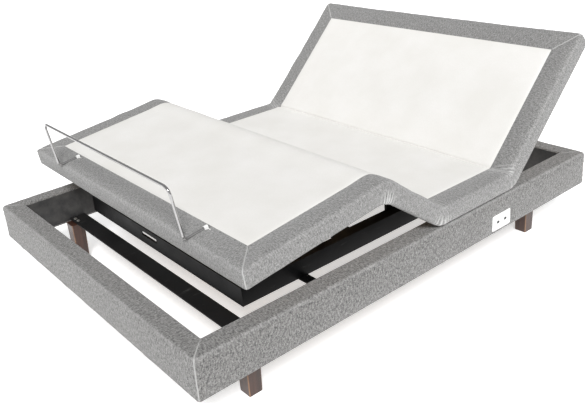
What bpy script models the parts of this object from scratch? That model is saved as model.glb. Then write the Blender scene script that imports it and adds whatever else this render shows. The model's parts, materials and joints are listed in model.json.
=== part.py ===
"""Adjustable bed base, queen size.

An upholstered box on four wooden legs holds a fixed steel frame. A carriage
rolls inside that frame and carries a four-section deck: back, seat, thigh and
foot. Two linear actuators under the seat lift the back and the thigh sections.
Metres, +Z up, head end at +Y, origin on the floor under the middle of the box.
The back and the legs are modelled half raised, which is the object's rest pose.
"""
from math import atan2, cos, hypot, pi, radians, sin, tan

import bmesh
import bpy
from mathutils import Matrix, Vector

# ---------------------------------------------------------------- dimensions
# upholstered box
BOX_W, BOX_L = 1.524, 2.050            # outside width (X) and length (Y)
RAIL_BOTTOM, RAIL_H = 0.171, 0.150     # underside of the rails, rail height
RAIL_T, RAIL_BOARD_T = 0.077, 0.018    # whole rail, inner timber board
RAIL_LIP = 0.0067                      # padding over and under the board
RAIL_ROUND, RAIL_ROUND_LOW, BOX_CORNER = 0.030, 0.012, 0.018
# legs
LEG_TOP, LEG_FOOT = 0.060, 0.053       # square section at the top and at the floor
LEG_IN_X, LEG_IN_Y = RAIL_T + 0.045, 0.262    # leg centre in from the outside of the box
CROSSBAR_W, CROSSBAR_T, CROSSBAR_IN_Y = 0.074, 0.006, 0.292
CROSSBAR_UP = 0.013                    # crossbar underside above the rail's
# fixed steel frame
CHANNEL_H, CHANNEL_W, CHANNEL_WALL = 0.070, 0.036, 0.003
CHANNEL_IN_X = 0.213                   # web face in from the outside of the box
FRAME_IN_FOOT, FRAME_IN_HEAD = 0.325, 0.175
CHANNEL_DROP = 0.004                   # channel top below the rail top
SLOT_X, SLOT_L, SLOT_H, SLOT_DROP = -0.059, 0.112, 0.018, 0.028
HANGER_W, HANGER_T, HANGER_RISE = 0.042, 0.004, 0.055
HANGER_FOOT_Y, HANGER_HEAD_Y = 0.590, 0.465   # in from the ends of the box
# deck
DECK_GAP_Z = 0.004                     # deck underside above the rail top
DECK_T, DECK_SIDE_GAP, DECK_END_GAP = 0.072, 0.000, 0.002
BACK_L, SEAT_L, THIGH_L = 0.671, 0.414, 0.341   # hinge to hinge, back to its edge
HINGE_DEPTH = 0.018                    # hinge axes below the deck's top face
BORDER_W, SKIRT_T = 0.096, 0.045       # fabric border, padded side walls
SLAB_T, PANEL_T, BOARD_T = 0.004, 0.003, 0.015
EDGE_ROUND, END_ROUND = 0.012, 0.014
# pose
BACK_UP, THIGH_UP, FOOT_DOWN = radians(44.9), radians(36.1), radians(7.0)
BACK_MAX, THIGH_MAX = radians(60.0), radians(45.0)
SLIDE_OUT = 0.1255                     # carriage travel from flat to this pose
# carriage
BAR_W, BAR_H, BAR_WALL = 0.025, 0.050, 0.003
BAR_OUT = 0.003                        # carriage bar to channel flange
RIB_W = 0.040
ROLLER_FREE, ROLLER_W, ROLLER_PIN_R = 0.002, 0.022, 0.005
ROLLER_FOOT_Y, ROLLER_HEAD_Y = 0.209, 0.121   # from the thigh and back hinges
# section plates, hinge pins and links
PLATE_T, PLATE_H, LUG_R = 0.008, 0.030, 0.0105
PLATE_IN = 0.029                       # thigh plate outer face to the carriage bar
PIN_R, LINK_PIN_R = 0.004, 0.005
LINK_W, LINK_AT, LINK_DROP, LINK_BASE_Z = 0.028, 0.230, 0.065, 0.094
# actuators
ACT_X, LEVER_DROP, LEVER_OUT = 0.140, 0.170, 0.020
LEVER_T, FORK_GAP, ACT_PIN_R = 0.006, 0.030, 0.006
TUBE_R, ROD_R, TUBE_L, ROD_L = 0.020, 0.012, 0.450, 0.360
MOTOR_R, MOTOR_L = 0.028, 0.150
BACK_ACT_Y, BACK_ACT_Z = 0.169, 0.154  # foot-side of the thigh hinge, below it
LEG_ACT_Y, LEG_ACT_Z = 0.186, 0.141    # head-side of the back hinge, below it
# mattress retainer bar
RET_X, RET_R, RET_BEND = 0.475, 0.005, 0.030
RET_SEAT, RET_OVER, RET_H, RET_LEAN = 0.084, 0.011, 0.196, 0.006
# power outlet
OUT_Y, OUT_Z, OUT_L, OUT_H, OUT_T = 0.415, 0.218, 0.118, 0.067, 0.004
FIT = 0.0003                           # gap between pieces that touch

# ------------------------------------------------------------ derived places
HALF_W, HALF_L = BOX_W / 2, BOX_L / 2
RAIL_TOP = RAIL_BOTTOM + RAIL_H
DECK_TOP = RAIL_TOP + DECK_GAP_Z + DECK_T
AXIS_Z = DECK_TOP - HINGE_DEPTH
DECK_X = HALF_W - DECK_SIDE_GAP
FOOT_L = BOX_L - 2 * DECK_END_GAP - BACK_L - SEAT_L - THIGH_L
BACK_Y = HALF_L - DECK_END_GAP - BACK_L + SLIDE_OUT
THIGH_Y = BACK_Y - SEAT_L
UNDER = DECK_T - HINGE_DEPTH           # hinge axis down to the deck's underside
BOARD_TOP = HINGE_DEPTH - PANEL_T - SLAB_T
BOARD_LOW = BOARD_TOP - BOARD_T
CH_TOP = RAIL_TOP - CHANNEL_DROP
CH_LOW = CH_TOP - CHANNEL_H
CH_X = HALF_W - CHANNEL_IN_X
ROLL_Z = (CH_TOP + CH_LOW) / 2
ROLLER_R = CHANNEL_H / 2 - CHANNEL_WALL - ROLLER_FREE
BAR_X1 = CH_X - CHANNEL_W - BAR_OUT    # outer face of the carriage bar
BAR_X0 = BAR_X1 - BAR_W
PLATE_X = BAR_X0 - PLATE_IN            # outer face of the back and thigh plates
KNEE_TURN = THIGH_UP + FOOT_DOWN

# ------------------------------------------------------------------- the scene
for old in list(bpy.data.objects):
    bpy.data.objects.remove(old, do_unlink=True)
parts = bpy.data.collections.new("adjustable_bed_base")
cutters = bpy.data.collections.new("cutters")
bpy.context.scene.collection.children.link(parts)
bpy.context.scene.collection.children.link(cutters)

FABRIC = ((0.36, 0.355, 0.35), 0.95, 0.0)
CREAM = ((0.80, 0.775, 0.72), 0.9, 0.0)
LINING = ((0.018, 0.018, 0.019), 0.8, 0.0)
BLACK_STEEL = ((0.022, 0.022, 0.024), 0.42, 0.6)
BRIGHT_STEEL = ((0.55, 0.55, 0.56), 0.3, 1.0)
CHROME = ((0.82, 0.82, 0.83), 0.1, 1.0)
WOOD = ((0.085, 0.032, 0.02), 0.4, 0.0)
PLY = ((0.50, 0.36, 0.22), 0.7, 0.0)
BLACK_PLASTIC = ((0.03, 0.03, 0.032), 0.5, 0.0)
WHITE_PLASTIC = ((0.8, 0.8, 0.79), 0.35, 0.0)


def finish(obj, look):
    """Gives the object its own Principled material."""
    colour, rough, metal = look
    mat = bpy.data.materials.new(obj.name)
    mat.use_nodes = True
    bsdf = mat.node_tree.nodes["Principled BSDF"]
    bsdf.inputs["Base Color"].default_value = (*colour, 1.0)
    bsdf.inputs["Roughness"].default_value = rough
    bsdf.inputs["Metallic"].default_value = metal
    obj.data.materials.clear()
    obj.data.materials.append(mat)


def place(mesh, name, look=None, parent=None):
    """A new object in the parts collection, or a cutter when it has no look."""
    obj = bpy.data.objects.new(name, mesh)
    (parts if look else cutters).objects.link(obj)
    obj.parent = parent
    if look:
        finish(obj, look)
    else:
        obj.hide_render = True
        obj.display_type = "WIRE"
    return obj


def pivot(name, location, turn=0.0, parent=None):
    """An empty on a joint axis that runs along X."""
    empty = bpy.data.objects.new(name, None)
    parts.objects.link(empty)
    empty.location = location
    empty.rotation_euler = (turn, 0, 0)
    empty.parent = parent
    return empty


def bevel(obj, width, segments=2):
    mod = obj.modifiers.new("Bevel", "BEVEL")
    mod.width, mod.segments = width, segments
    mod.limit_method, mod.angle_limit = "ANGLE", radians(50)
    return obj


def box(name, low, high, look=None, parent=None, round_edge=0.0):
    """A block between two corners, its edges rounded when asked."""
    bm = bmesh.new()
    bmesh.ops.create_cube(bm, size=1.0)
    size = [b - a for a, b in zip(low, high)]
    mid = [(a + b) / 2 for a, b in zip(low, high)]
    bmesh.ops.transform(bm, matrix=Matrix.Translation(mid) @ Matrix.Diagonal((*size, 1.0)), verts=bm.verts)
    mesh = bpy.data.meshes.new(name)
    bm.to_mesh(mesh)
    bm.free()
    obj = place(mesh, name, look, parent)
    return bevel(obj, round_edge) if round_edge else obj


def cylinder(name, centre, axis, radius, length, look=None, parent=None, sides=20):
    """A round bar about its centre, along the 'X', 'Y' or 'Z' axis."""
    bm = bmesh.new()
    bmesh.ops.create_cone(bm, cap_ends=True, segments=sides, radius1=radius, radius2=radius, depth=length)
    turn = {"X": Matrix.Rotation(pi / 2, 4, "Y"), "Y": Matrix.Rotation(pi / 2, 4, "X"), "Z": Matrix()}[axis]
    bmesh.ops.transform(bm, matrix=Matrix.Translation(centre) @ turn, verts=bm.verts)
    mesh = bpy.data.meshes.new(name)
    bm.to_mesh(mesh)
    bm.free()
    return place(mesh, name, look, parent)


def filleted(corners, steps=4):
    """The outline through (u, v, radius) corners, with an arc at each one that has a radius."""
    points = []
    for i, (u, v, r) in enumerate(corners):
        here = Vector((u, v))
        if not r:
            points.append(here)
            continue
        a = (Vector(corners[i - 1][:2]) - here).normalized()
        b = (Vector(corners[(i + 1) % len(corners)][:2]) - here).normalized()
        half = a.angle(b) / 2
        start, end = here + a * (r / tan(half)), here + b * (r / tan(half))
        centre = here + (a + b).normalized() * (r / sin(half))
        s, e = start - centre, end - centre
        turn = atan2(s.x * e.y - s.y * e.x, s.dot(e))
        points += [centre + Matrix.Rotation(turn * k / steps, 2) @ s for k in range(steps + 1)]
    return points


# where an outline's (u, v) and its depth go, for outlines seen along X, Y and Z
ALONG = {
    "X": Matrix(((0, 0, 1, 0), (1, 0, 0, 0), (0, 1, 0, 0), (0, 0, 0, 1))),
    "Y": Matrix(((1, 0, 0, 0), (0, 0, -1, 0), (0, 1, 0, 0), (0, 0, 0, 1))),
    "Z": Matrix(),
}


def extrusion(name, outlines, axis, low, high, look=None, parent=None):
    """Flat outlines (an outer one, then any holes) filled and extruded from low to high along an axis."""
    curve = bpy.data.curves.new(name, "CURVE")
    curve.dimensions, curve.fill_mode, curve.extrude = "2D", "BOTH", (high - low) / 2
    for outline in outlines:
        spline = curve.splines.new("POLY")
        spline.points.add(len(outline) - 1)
        for point, co in zip(spline.points, outline):
            point.co = (co[0], co[1], 0, 1)
        spline.use_cyclic_u = True
    flat = bpy.data.objects.new(name + "_outline", curve)
    bpy.context.scene.collection.objects.link(flat)
    bpy.context.view_layer.update()
    mesh = bpy.data.meshes.new_from_object(flat.evaluated_get(bpy.context.evaluated_depsgraph_get()))
    bpy.data.objects.remove(flat)
    mesh.name = name
    middle = (low + high) / 2
    shift = {"X": (middle, 0, 0), "Y": (0, middle, 0), "Z": (0, 0, middle)}[axis]
    bm = bmesh.new()
    bm.from_mesh(mesh)
    bmesh.ops.remove_doubles(bm, verts=bm.verts, dist=0.00001)
    bmesh.ops.transform(bm, matrix=Matrix.Translation(shift) @ ALONG[axis], verts=bm.verts)
    bmesh.ops.recalc_face_normals(bm, faces=bm.faces)
    bm.to_mesh(mesh)
    bm.free()
    return place(mesh, name, look, parent)


def boolean(obj, other, operation="DIFFERENCE"):
    mod = obj.modifiers.new(operation.title(), "BOOLEAN")
    mod.operation, mod.object, mod.solver = operation, other, "EXACT"
    return obj


def mirrored(x0, x1, side):
    """The x range of a piece on the right (+1) or left (-1) side."""
    return (x0, x1) if side > 0 else (-x1, -x0)


SIDES = (("right", 1), ("left", -1))
ENDS = (("head", 1), ("foot", -1))

# ------------------------------------------------------------ upholstered box
inner = RAIL_T                          # rail's inner face, in from the outside
board_out = RAIL_T - RAIL_BOARD_T
low, high = RAIL_BOTTOM, RAIL_TOP
WRAP = filleted([
    (-inner, high, 0.003), (0, high, RAIL_ROUND), (0, low, RAIL_ROUND_LOW), (-inner, low, 0.003),
    (-inner, low + RAIL_LIP, 0), (-board_out + FIT, low + RAIL_LIP, 0),
    (-board_out + FIT, high - RAIL_LIP, 0), (-inner, high - RAIL_LIP, 0)], 5)
corner_post = extrusion("box_corner_cutter", [filleted([
    (sx * HALF_W, sy * HALF_L, BOX_CORNER) for sx, sy in ((1, 1), (-1, 1), (-1, -1), (1, -1))])],
    "Z", RAIL_BOTTOM - 0.05, RAIL_TOP + 0.05)


def mitre(obj, along, across, half_along, half_across):
    """Slants both ends of a rail at 45 degrees, so that neighbours meet in the corner."""
    for v in obj.data.vertices:
        out = half_across - abs(v.co[across])
        v.co[along] = (1 if v.co[along] > 0 else -1) * (half_along - out - FIT)


for name, s in SIDES:
    cover = extrusion(f"rail_cover_{name}", [[(s * (HALF_W + u), v) for u, v in WRAP]], "Y", -1, 1, FABRIC)
    mitre(cover, 1, 0, HALF_L, HALF_W)
    boolean(cover, corner_post, "INTERSECT")
    if s > 0:
        right_cover = cover
    x0, x1 = mirrored(HALF_W - inner, HALF_W - board_out, s)
    reach = HALF_L - board_out - FIT
    box(f"rail_board_{name}", (x0, -reach, low + RAIL_LIP + FIT), (x1, reach, high - RAIL_LIP - FIT),
        LINING, round_edge=0.001)
for name, s in ENDS:
    cover = extrusion(f"rail_cover_{name}", [[(s * (HALF_L + u), v) for u, v in WRAP]], "X", -1, 1, FABRIC)
    mitre(cover, 0, 1, HALF_W, HALF_L)
    boolean(cover, corner_post, "INTERSECT")
    y0, y1 = mirrored(HALF_L - inner, HALF_L - board_out, s)
    reach = HALF_W - inner - FIT
    box(f"rail_board_{name}", (-reach, y0, low + RAIL_LIP + FIT), (reach, y1, high - RAIL_LIP - FIT),
        LINING, round_edge=0.001)

# outlet plate, let into the right rail
plate_out = HALF_W - 0.0002
pocket = box("outlet_pocket", (plate_out - OUT_T - FIT, OUT_Y - OUT_L / 2 - FIT, OUT_Z - OUT_H / 2 - FIT),
             (HALF_W + 0.02, OUT_Y + OUT_L / 2 + FIT, OUT_Z + OUT_H / 2 + FIT))
boolean(right_cover, pocket)
outlet = box("power_outlet", (plate_out - OUT_T, OUT_Y - OUT_L / 2, OUT_Z - OUT_H / 2),
             (plate_out, OUT_Y + OUT_L / 2, OUT_Z + OUT_H / 2), WHITE_PLASTIC)
for k, dy in enumerate((-0.023, 0.023)):
    boolean(outlet, box(f"outlet_port_{k}", (plate_out - 0.0025, OUT_Y + dy - 0.008, OUT_Z - 0.006),
                        (plate_out + 0.01, OUT_Y + dy + 0.008, OUT_Z + 0.006)))

# ------------------------------- legs and the flat steel bars that hold them
leg_x, leg_y = HALF_W - LEG_IN_X, HALF_L - LEG_IN_Y
bar_low = RAIL_BOTTOM + CROSSBAR_UP
for end, sy in ENDS:
    y = sy * (HALF_L - CROSSBAR_IN_Y)
    reach = HALF_W - inner - FIT
    box(f"leg_crossbar_{end}", (-reach, y - CROSSBAR_W / 2, bar_low),
        (reach, y + CROSSBAR_W / 2, bar_low + CROSSBAR_T), BLACK_STEEL, round_edge=0.0015)
    for side, sx in SIDES:
        leg = box(f"leg_{end}_{side}", (sx * leg_x - LEG_TOP / 2, sy * leg_y - LEG_TOP / 2, 0),
                  (sx * leg_x + LEG_TOP / 2, sy * leg_y + LEG_TOP / 2, bar_low - FIT), WOOD)
        for v in leg.data.vertices:
            if v.co.z < 0.01:
                v.co.x = sx * leg_x + (v.co.x - sx * leg_x) * LEG_FOOT / LEG_TOP
                v.co.y = sy * leg_y + (v.co.y - sy * leg_y) * LEG_FOOT / LEG_TOP
        bevel(leg, 0.003)

# --------------------------------------------------------- fixed steel frame
frame_foot, frame_head = -HALF_L + FRAME_IN_FOOT, HALF_L - FRAME_IN_HEAD
w, t = CHANNEL_W, CHANNEL_WALL


def channel_outline(web, inward):
    """A C section whose web face is at u = web and whose flanges point inward."""
    k = inward
    pts = [(web, CH_LOW), (web + k * w, CH_LOW), (web + k * w, CH_LOW + t), (web + k * t, CH_LOW + t),
           (web + k * t, CH_TOP - t), (web + k * w, CH_TOP - t), (web + k * w, CH_TOP), (web, CH_TOP)]
    return pts if k < 0 else pts[::-1]


hanger_ys = (-HALF_L + HANGER_FOOT_Y, HALF_L - HANGER_HEAD_Y)
for side, s in SIDES:
    channel = extrusion(f"frame_channel_{side}", [channel_outline(s * CH_X, -s)], "Y",
                        frame_foot + t + FIT, frame_head - t - FIT, BLACK_STEEL)
    for k, y in enumerate(hanger_ys):
        head = cylinder(f"channel_bolt_{side}_{k}", (s * (CH_X - w / 2), y, CH_TOP + 0.001), "Z", 0.007, 0.005)
        boolean(channel, head, "UNION")
    for (end, _), y in zip((("foot", 0), ("head", 0)), hanger_ys):
        wall = HALF_W - inner - FIT
        top, under = CH_LOW - FIT, CH_LOW - FIT - HANGER_T
        pts = [(CH_X - w, under), (wall, under), (wall, under + HANGER_RISE), (wall - HANGER_T, under + HANGER_RISE),
               (wall - HANGER_T, top), (CH_X - w, top)]
        hanger = extrusion(f"hanger_{end}_{side}", [[(s * u, v) for u, v in pts]], "Y",
                           y - HANGER_W / 2, y + HANGER_W / 2, BLACK_STEEL)
        boolean(hanger, cylinder(f"hanger_bolt_{end}_{side}", (s * (CH_X + 0.03), y, top), "Z", 0.008, 0.014), "UNION")
for end, s in ENDS:
    y = frame_head if s > 0 else frame_foot
    rail = extrusion(f"frame_crossrail_{end}", [channel_outline(y, -s)], "X", -CH_X, CH_X, BLACK_STEEL)
    for side, sx in SIDES:              # the flanges stop at the side channels, the web covers their ends
        x0, x1 = mirrored(CH_X - w - FIT, CH_X + 0.01, sx)
        y0, y1 = sorted((y - s * t, y - s * (w + 0.01)))
        boolean(rail, box(f"crossrail_cope_{end}_{side}", (x0, y0, CH_LOW - 0.01), (x1, y1, CH_TOP + 0.01)))
    if s < 0:
        z = CH_TOP - SLOT_DROP
        boolean(rail, box("crossrail_slot", (SLOT_X - SLOT_L / 2, y - 0.01, z - SLOT_H / 2),
                          (SLOT_X + SLOT_L / 2, y + t + 0.005, z + SLOT_H / 2)))

# ------------------------------------------------------------------- carriage
carriage = pivot("carriage_pivot", (0, 0, 0))
# the foot link's base pin stands midway between the places its far pin takes
# when the deck is flat and in this pose, so that one link length fits both


def turned(y, z, angle):
    """A point of a foot-ward section after that section's end is raised by an angle."""
    return y * cos(angle) + z * sin(angle), -y * sin(angle) + z * cos(angle)


def foot_point(out, down, thigh, foot):
    """Where a point of the foot section is, for a raised thigh and a lowered foot end."""
    ky, kz = turned(-THIGH_L, 0, thigh)
    fy, fz = turned(-out, -down, -foot)
    return THIGH_Y + ky + fy, AXIS_Z + kz + fz


flat_pin, rest_pin = foot_point(LINK_AT, LINK_DROP, 0, 0), foot_point(LINK_AT, LINK_DROP, THIGH_UP, FOOT_DOWN)
link_z = AXIS_Z - LINK_BASE_Z
chord = (rest_pin[0] - flat_pin[0], rest_pin[1] - flat_pin[1])
middle = ((rest_pin[0] + flat_pin[0]) / 2, (rest_pin[1] + flat_pin[1]) / 2)
link_y = middle[0] - (link_z - middle[1]) * chord[1] / chord[0]

back_act = (THIGH_Y - BACK_ACT_Y, AXIS_Z - BACK_ACT_Z)
leg_act = (BACK_Y + LEG_ACT_Y, AXIS_Z - LEG_ACT_Z)
bar_foot, bar_head = link_y - 0.035, leg_act[0] + 0.055
bar_low_z = ROLL_Z - BAR_H / 2
bar_top = ROLL_Z + BAR_H / 2
rollers = (("foot", THIGH_Y - ROLLER_FOOT_Y), ("head", BACK_Y + ROLLER_HEAD_Y))


def tube_outline(u0, u1, v0, v1, wall):
    outer = [(u0, v0), (u1, v0), (u1, v1), (u0, v1)]
    hollow = [(u0 + wall, v0 + wall), (u0 + wall, v1 - wall), (u1 - wall, v1 - wall), (u1 - wall, v0 + wall)]
    return [outer, hollow]


for side, s in SIDES:
    x0, x1 = mirrored(BAR_X0, BAR_X1, s)
    bar = extrusion(f"carriage_bar_{side}", tube_outline(x0, x1, bar_low_z, bar_top, BAR_WALL), "Y",
                    bar_foot, bar_head, BLACK_STEEL, carriage)
    for joint, y in (("thigh", THIGH_Y), ("back", BACK_Y)):
        lx0, lx1 = mirrored(BAR_X0, BAR_X0 + 0.010, s)
        lug = extrusion(f"hinge_lug_{joint}_{side}", [filleted([
            (y - 0.018, bar_top - 0.002, 0), (y + 0.018, bar_top - 0.002, 0),
            (y + 0.018, AXIS_Z + BOARD_LOW - FIT, 0.002), (y + LUG_R, AXIS_Z + BOARD_LOW - FIT, 0.0),
            (y + LUG_R, AXIS_Z + LUG_R, LUG_R * 0.98), (y - LUG_R, AXIS_Z + LUG_R, LUG_R * 0.98),
            (y - LUG_R, AXIS_Z + BOARD_LOW - FIT, 0.0), (y - 0.018, AXIS_Z + BOARD_LOW - FIT, 0.002)])],
            "X", lx0, lx1, None, carriage)
        boolean(bar, lug, "UNION")
        pin0, pin1 = mirrored(PLATE_X - PLATE_T - 0.004, BAR_X0 + 0.008, s)
        boolean(bar, cylinder(f"hinge_pin_{joint}_{side}", ((pin0 + pin1) / 2, y, AXIS_Z), "X", PIN_R, pin1 - pin0,
                              None, carriage), "UNION")
    pin0, pin1 = mirrored(BAR_X0 - 0.021, BAR_X0 + 0.002, s)
    boolean(bar, cylinder(f"link_base_pin_{side}", ((pin0 + pin1) / 2, link_y, link_z), "X", LINK_PIN_R, pin1 - pin0,
                          None, carriage), "UNION")
    for end, y in rollers:
        pin0, pin1 = mirrored(BAR_X1 - 0.002, CH_X - CHANNEL_WALL - 0.003, s)
        boolean(bar, cylinder(f"roller_pin_{end}_{side}", ((pin0 + pin1) / 2, y, ROLL_Z), "X", ROLLER_PIN_R,
                              pin1 - pin0, None, carriage), "UNION")
        # the roller is a turned ring with rounded shoulders
        r, hw, bore = ROLLER_R, ROLLER_W / 2, ROLLER_PIN_R + 0.0004
        profile = [(bore, hw), (r - 0.008, hw), (r - 0.003, hw - 0.003), (r, hw - 0.006),
                   (r, -hw + 0.006), (r - 0.003, -hw + 0.003), (r - 0.008, -hw), (bore, -hw)]
        mesh = bpy.data.meshes.new(f"roller_{end}_{side}")
        mesh.from_pydata([(a, 0, b) for a, b in profile], [(i, (i + 1) % 8) for i in range(8)], [])
        roller = place(mesh, f"roller_{end}_{side}", BLACK_PLASTIC)
        screw = roller.modifiers.new("Screw", "SCREW")
        screw.steps = screw.render_steps = 24
        screw.use_merge_vertices, screw.merge_threshold = True, 0.00005
        roller.location = (s * (BAR_X1 + 0.004 + hw), y, ROLL_Z)
        roller.rotation_euler = (0, pi / 2, 0)

# two ribs carry the seat, two cross tubes carry the actuators
for end, y in (("foot", THIGH_Y + 0.071), ("head", BACK_Y - 0.0745)):
    extrusion(f"seat_rib_{end}", tube_outline(y - RIB_W / 2, y + RIB_W / 2, bar_top + FIT,
                                              AXIS_Z + BOARD_LOW - FIT, 0.003),
              "X", -BAR_X1, BAR_X1, BLACK_STEEL, carriage)


def actuator_mount(name, tube_y, pin, x_mid, reach):
    """A cross tube between the carriage bars with a fork whose pin is the actuator's rear pivot."""
    z0, z1 = bar_low_z, bar_low_z + 0.040
    tube = extrusion(name, tube_outline(tube_y - 0.0175, tube_y + 0.0175, z0, z1, 0.003), "X",
                     -(BAR_X0 - FIT), BAR_X0 - FIT, BLACK_STEEL, carriage)
    for k in (-1, 1):
        a = x_mid + k * (FORK_GAP / 2 + LEVER_T / 2)
        near, far = tube_y - reach * 0.016, tube_y + reach * 0.016
        cheek = extrusion(f"{name}_cheek_{k}", [filleted([
            (near, z0 + 0.002, 0.0), (pin[0] - reach * 0.016, pin[1] - 0.016, 0.0155),
            (pin[0] + reach * 0.016, pin[1] - 0.016, 0.0155), (pin[0] + reach * 0.016, pin[1] + 0.016, 0.0155),
            (far, z0 + 0.002, 0.0)])], "X", a - LEVER_T / 2, a + LEVER_T / 2, None, carriage)
        boolean(tube, cheek, "UNION")
    boolean(tube, cylinder(f"{name}_pin", (x_mid, *pin), "X", ACT_PIN_R, FORK_GAP + 2 * LEVER_T + 0.006, None,
                           carriage), "UNION")


actuator_mount("actuator_mount_back", back_act[0] - 0.045, back_act, ACT_X, 1)
actuator_mount("actuator_mount_legs", leg_act[0] + 0.035, leg_act, -ACT_X, -1)

# ----------------------------------------------------------- deck sections
back = pivot("back_pivot", (0, BACK_Y, AXIS_Z), BACK_UP, carriage)
thigh = pivot("thigh_pivot", (0, THIGH_Y, AXIS_Z), -THIGH_UP, carriage)
foot = pivot("knee_pivot", (0, -THIGH_L, 0), KNEE_TURN, thigh)
seat = pivot("seat_frame", (0, THIGH_Y, AXIS_Z), 0, carriage)

KNEE_MAX = THIGH_MAX * KNEE_TURN / THIGH_UP
VALLEY = tan(BACK_MAX / 2 + radians(0.6))      # room above the axis where a section folds up
VALLEY_T = tan(THIGH_MAX / 2 + radians(0.6))
CREST = tan(KNEE_MAX / 2 + radians(0.6))       # room below the axis where the knee folds down
TOP = HINGE_DEPTH


def padded_end(co):
    """Whether a point lies on the padded outer end of the back or of the foot section."""
    return co.y > BACK_L - 2 * END_ROUND or co.y < -FOOT_L + 2 * END_ROUND


def upholstery(name, side_view, y0, y1, panel_y0, panel_y1, parent):
    """One section: padded fabric tray, ply board inside it and the cream panel let into its top."""
    cover = extrusion(f"{name}_cover", [filleted(side_view)], "X", -DECK_X, DECK_X, FABRIC, parent)
    weight = cover.data.attributes.new("bevel_weight_edge", "FLOAT", "EDGE")
    for edge in cover.data.edges:
        a, b = (cover.data.vertices[i].co for i in edge.vertices)
        on_side = abs(a.x - b.x) < 1e-6 and abs(a.x) > DECK_X - 1e-4
        level = abs(a.z - b.z) < 1e-6 and (abs(a.z - TOP) < 1e-5 or abs(a.z + UNDER) < 1e-5)
        weight.data[edge.index].value = 1.0 if on_side and (level or padded_end(a) and padded_end(b)) else 0.0
    soft = cover.modifiers.new("Soft edge", "BEVEL")
    soft.width, soft.segments, soft.limit_method = EDGE_ROUND, 3, "WEIGHT"
    wall = DECK_X - SKIRT_T
    boolean(cover, box(f"{name}_hollow", (-wall, y0, -UNDER - 0.02), (wall, y1, BOARD_TOP + FIT), None, parent))
    side = DECK_X - BORDER_W
    boolean(cover, box(f"{name}_inset", (-side - FIT, panel_y0 - FIT, TOP - PANEL_T), (side + FIT, panel_y1 + FIT, TOP + 0.02),
                       None, parent))
    return cover


def board_and_panel(name, b0, b1, p0, p1, parent):
    wall = DECK_X - SKIRT_T - FIT
    side = DECK_X - BORDER_W
    box(f"{name}_board", (-wall, b0, BOARD_LOW), (wall, b1, BOARD_TOP), PLY, parent)
    box(f"{name}_panel", (-side, p0, TOP - PANEL_T + FIT), (side, p1, TOP), CREAM, parent)


g = 0.0006
lug_room = 0.016
v, vt, c = TOP * VALLEY + g, TOP * VALLEY_T + g, UNDER * CREST + g
# back: from its hinge toward the head
upholstery("back", [(g, 0, 0), (g, -UNDER, 0), (BACK_L, -UNDER, 0.008), (BACK_L, TOP, END_ROUND), (v, TOP, 0)],
           -0.05, BACK_L - SKIRT_T, -0.05, BACK_L - BORDER_W, back)
board_and_panel("back", lug_room, BACK_L - SKIRT_T - FIT, v, BACK_L - BORDER_W, back)
# seat: between the thigh hinge (at 0) and the back hinge (at SEAT_L)
upholstery("seat", [(g, 0, 0), (g, -UNDER, 0), (SEAT_L - g, -UNDER, 0), (SEAT_L - g, 0, 0), (SEAT_L - v, TOP, 0),
                    (vt, TOP, 0)], -0.05, SEAT_L + 0.05, -0.05, SEAT_L + 0.05, seat)
board_and_panel("seat", lug_room, SEAT_L - lug_room, vt, SEAT_L - v, seat)
# thigh: from its hinge (at 0) to the knee (at -THIGH_L)
k = -THIGH_L
upholstery("thigh", [(-g, 0, 0), (-vt, TOP, 0), (k + g, TOP, 0.004), (k + g, 0, 0), (k + c, -UNDER, 0), (-g, -UNDER, 0)],
           k - 0.05, 0.05, k - 0.05, 0.05, thigh)
board_and_panel("thigh", k + lug_room, -lug_room, k + g + 0.002, -vt, thigh)
# foot: from the knee (at 0) to its end
e = -FOOT_L
upholstery("foot", [(-g, 0, 0), (-g, TOP, 0.004), (e, TOP, END_ROUND), (e, -UNDER, 0.008), (-c, -UNDER, 0)],
           e + SKIRT_T, 0.05, e + BORDER_W, 0.05, foot)
board_and_panel("foot", e + SKIRT_T + FIT, -lug_room, e + BORDER_W, -g - 0.002, foot)

# ---------------------------------------------- section plates, ribs, levers
R = LUG_R
P_TOP = BOARD_LOW - FIT                # plates lie just under the boards
P_LOW = P_TOP - PLATE_H
NECK = 0.022                           # a lug reaches past the chamfered plate end
arc = R * 0.98


def hole(y, z, radius, sides=16):
    """A round hole in an outline."""
    return [(y + radius * cos(2 * pi * i / sides), z - radius * sin(2 * pi * i / sides)) for i in range(sides)]


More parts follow.
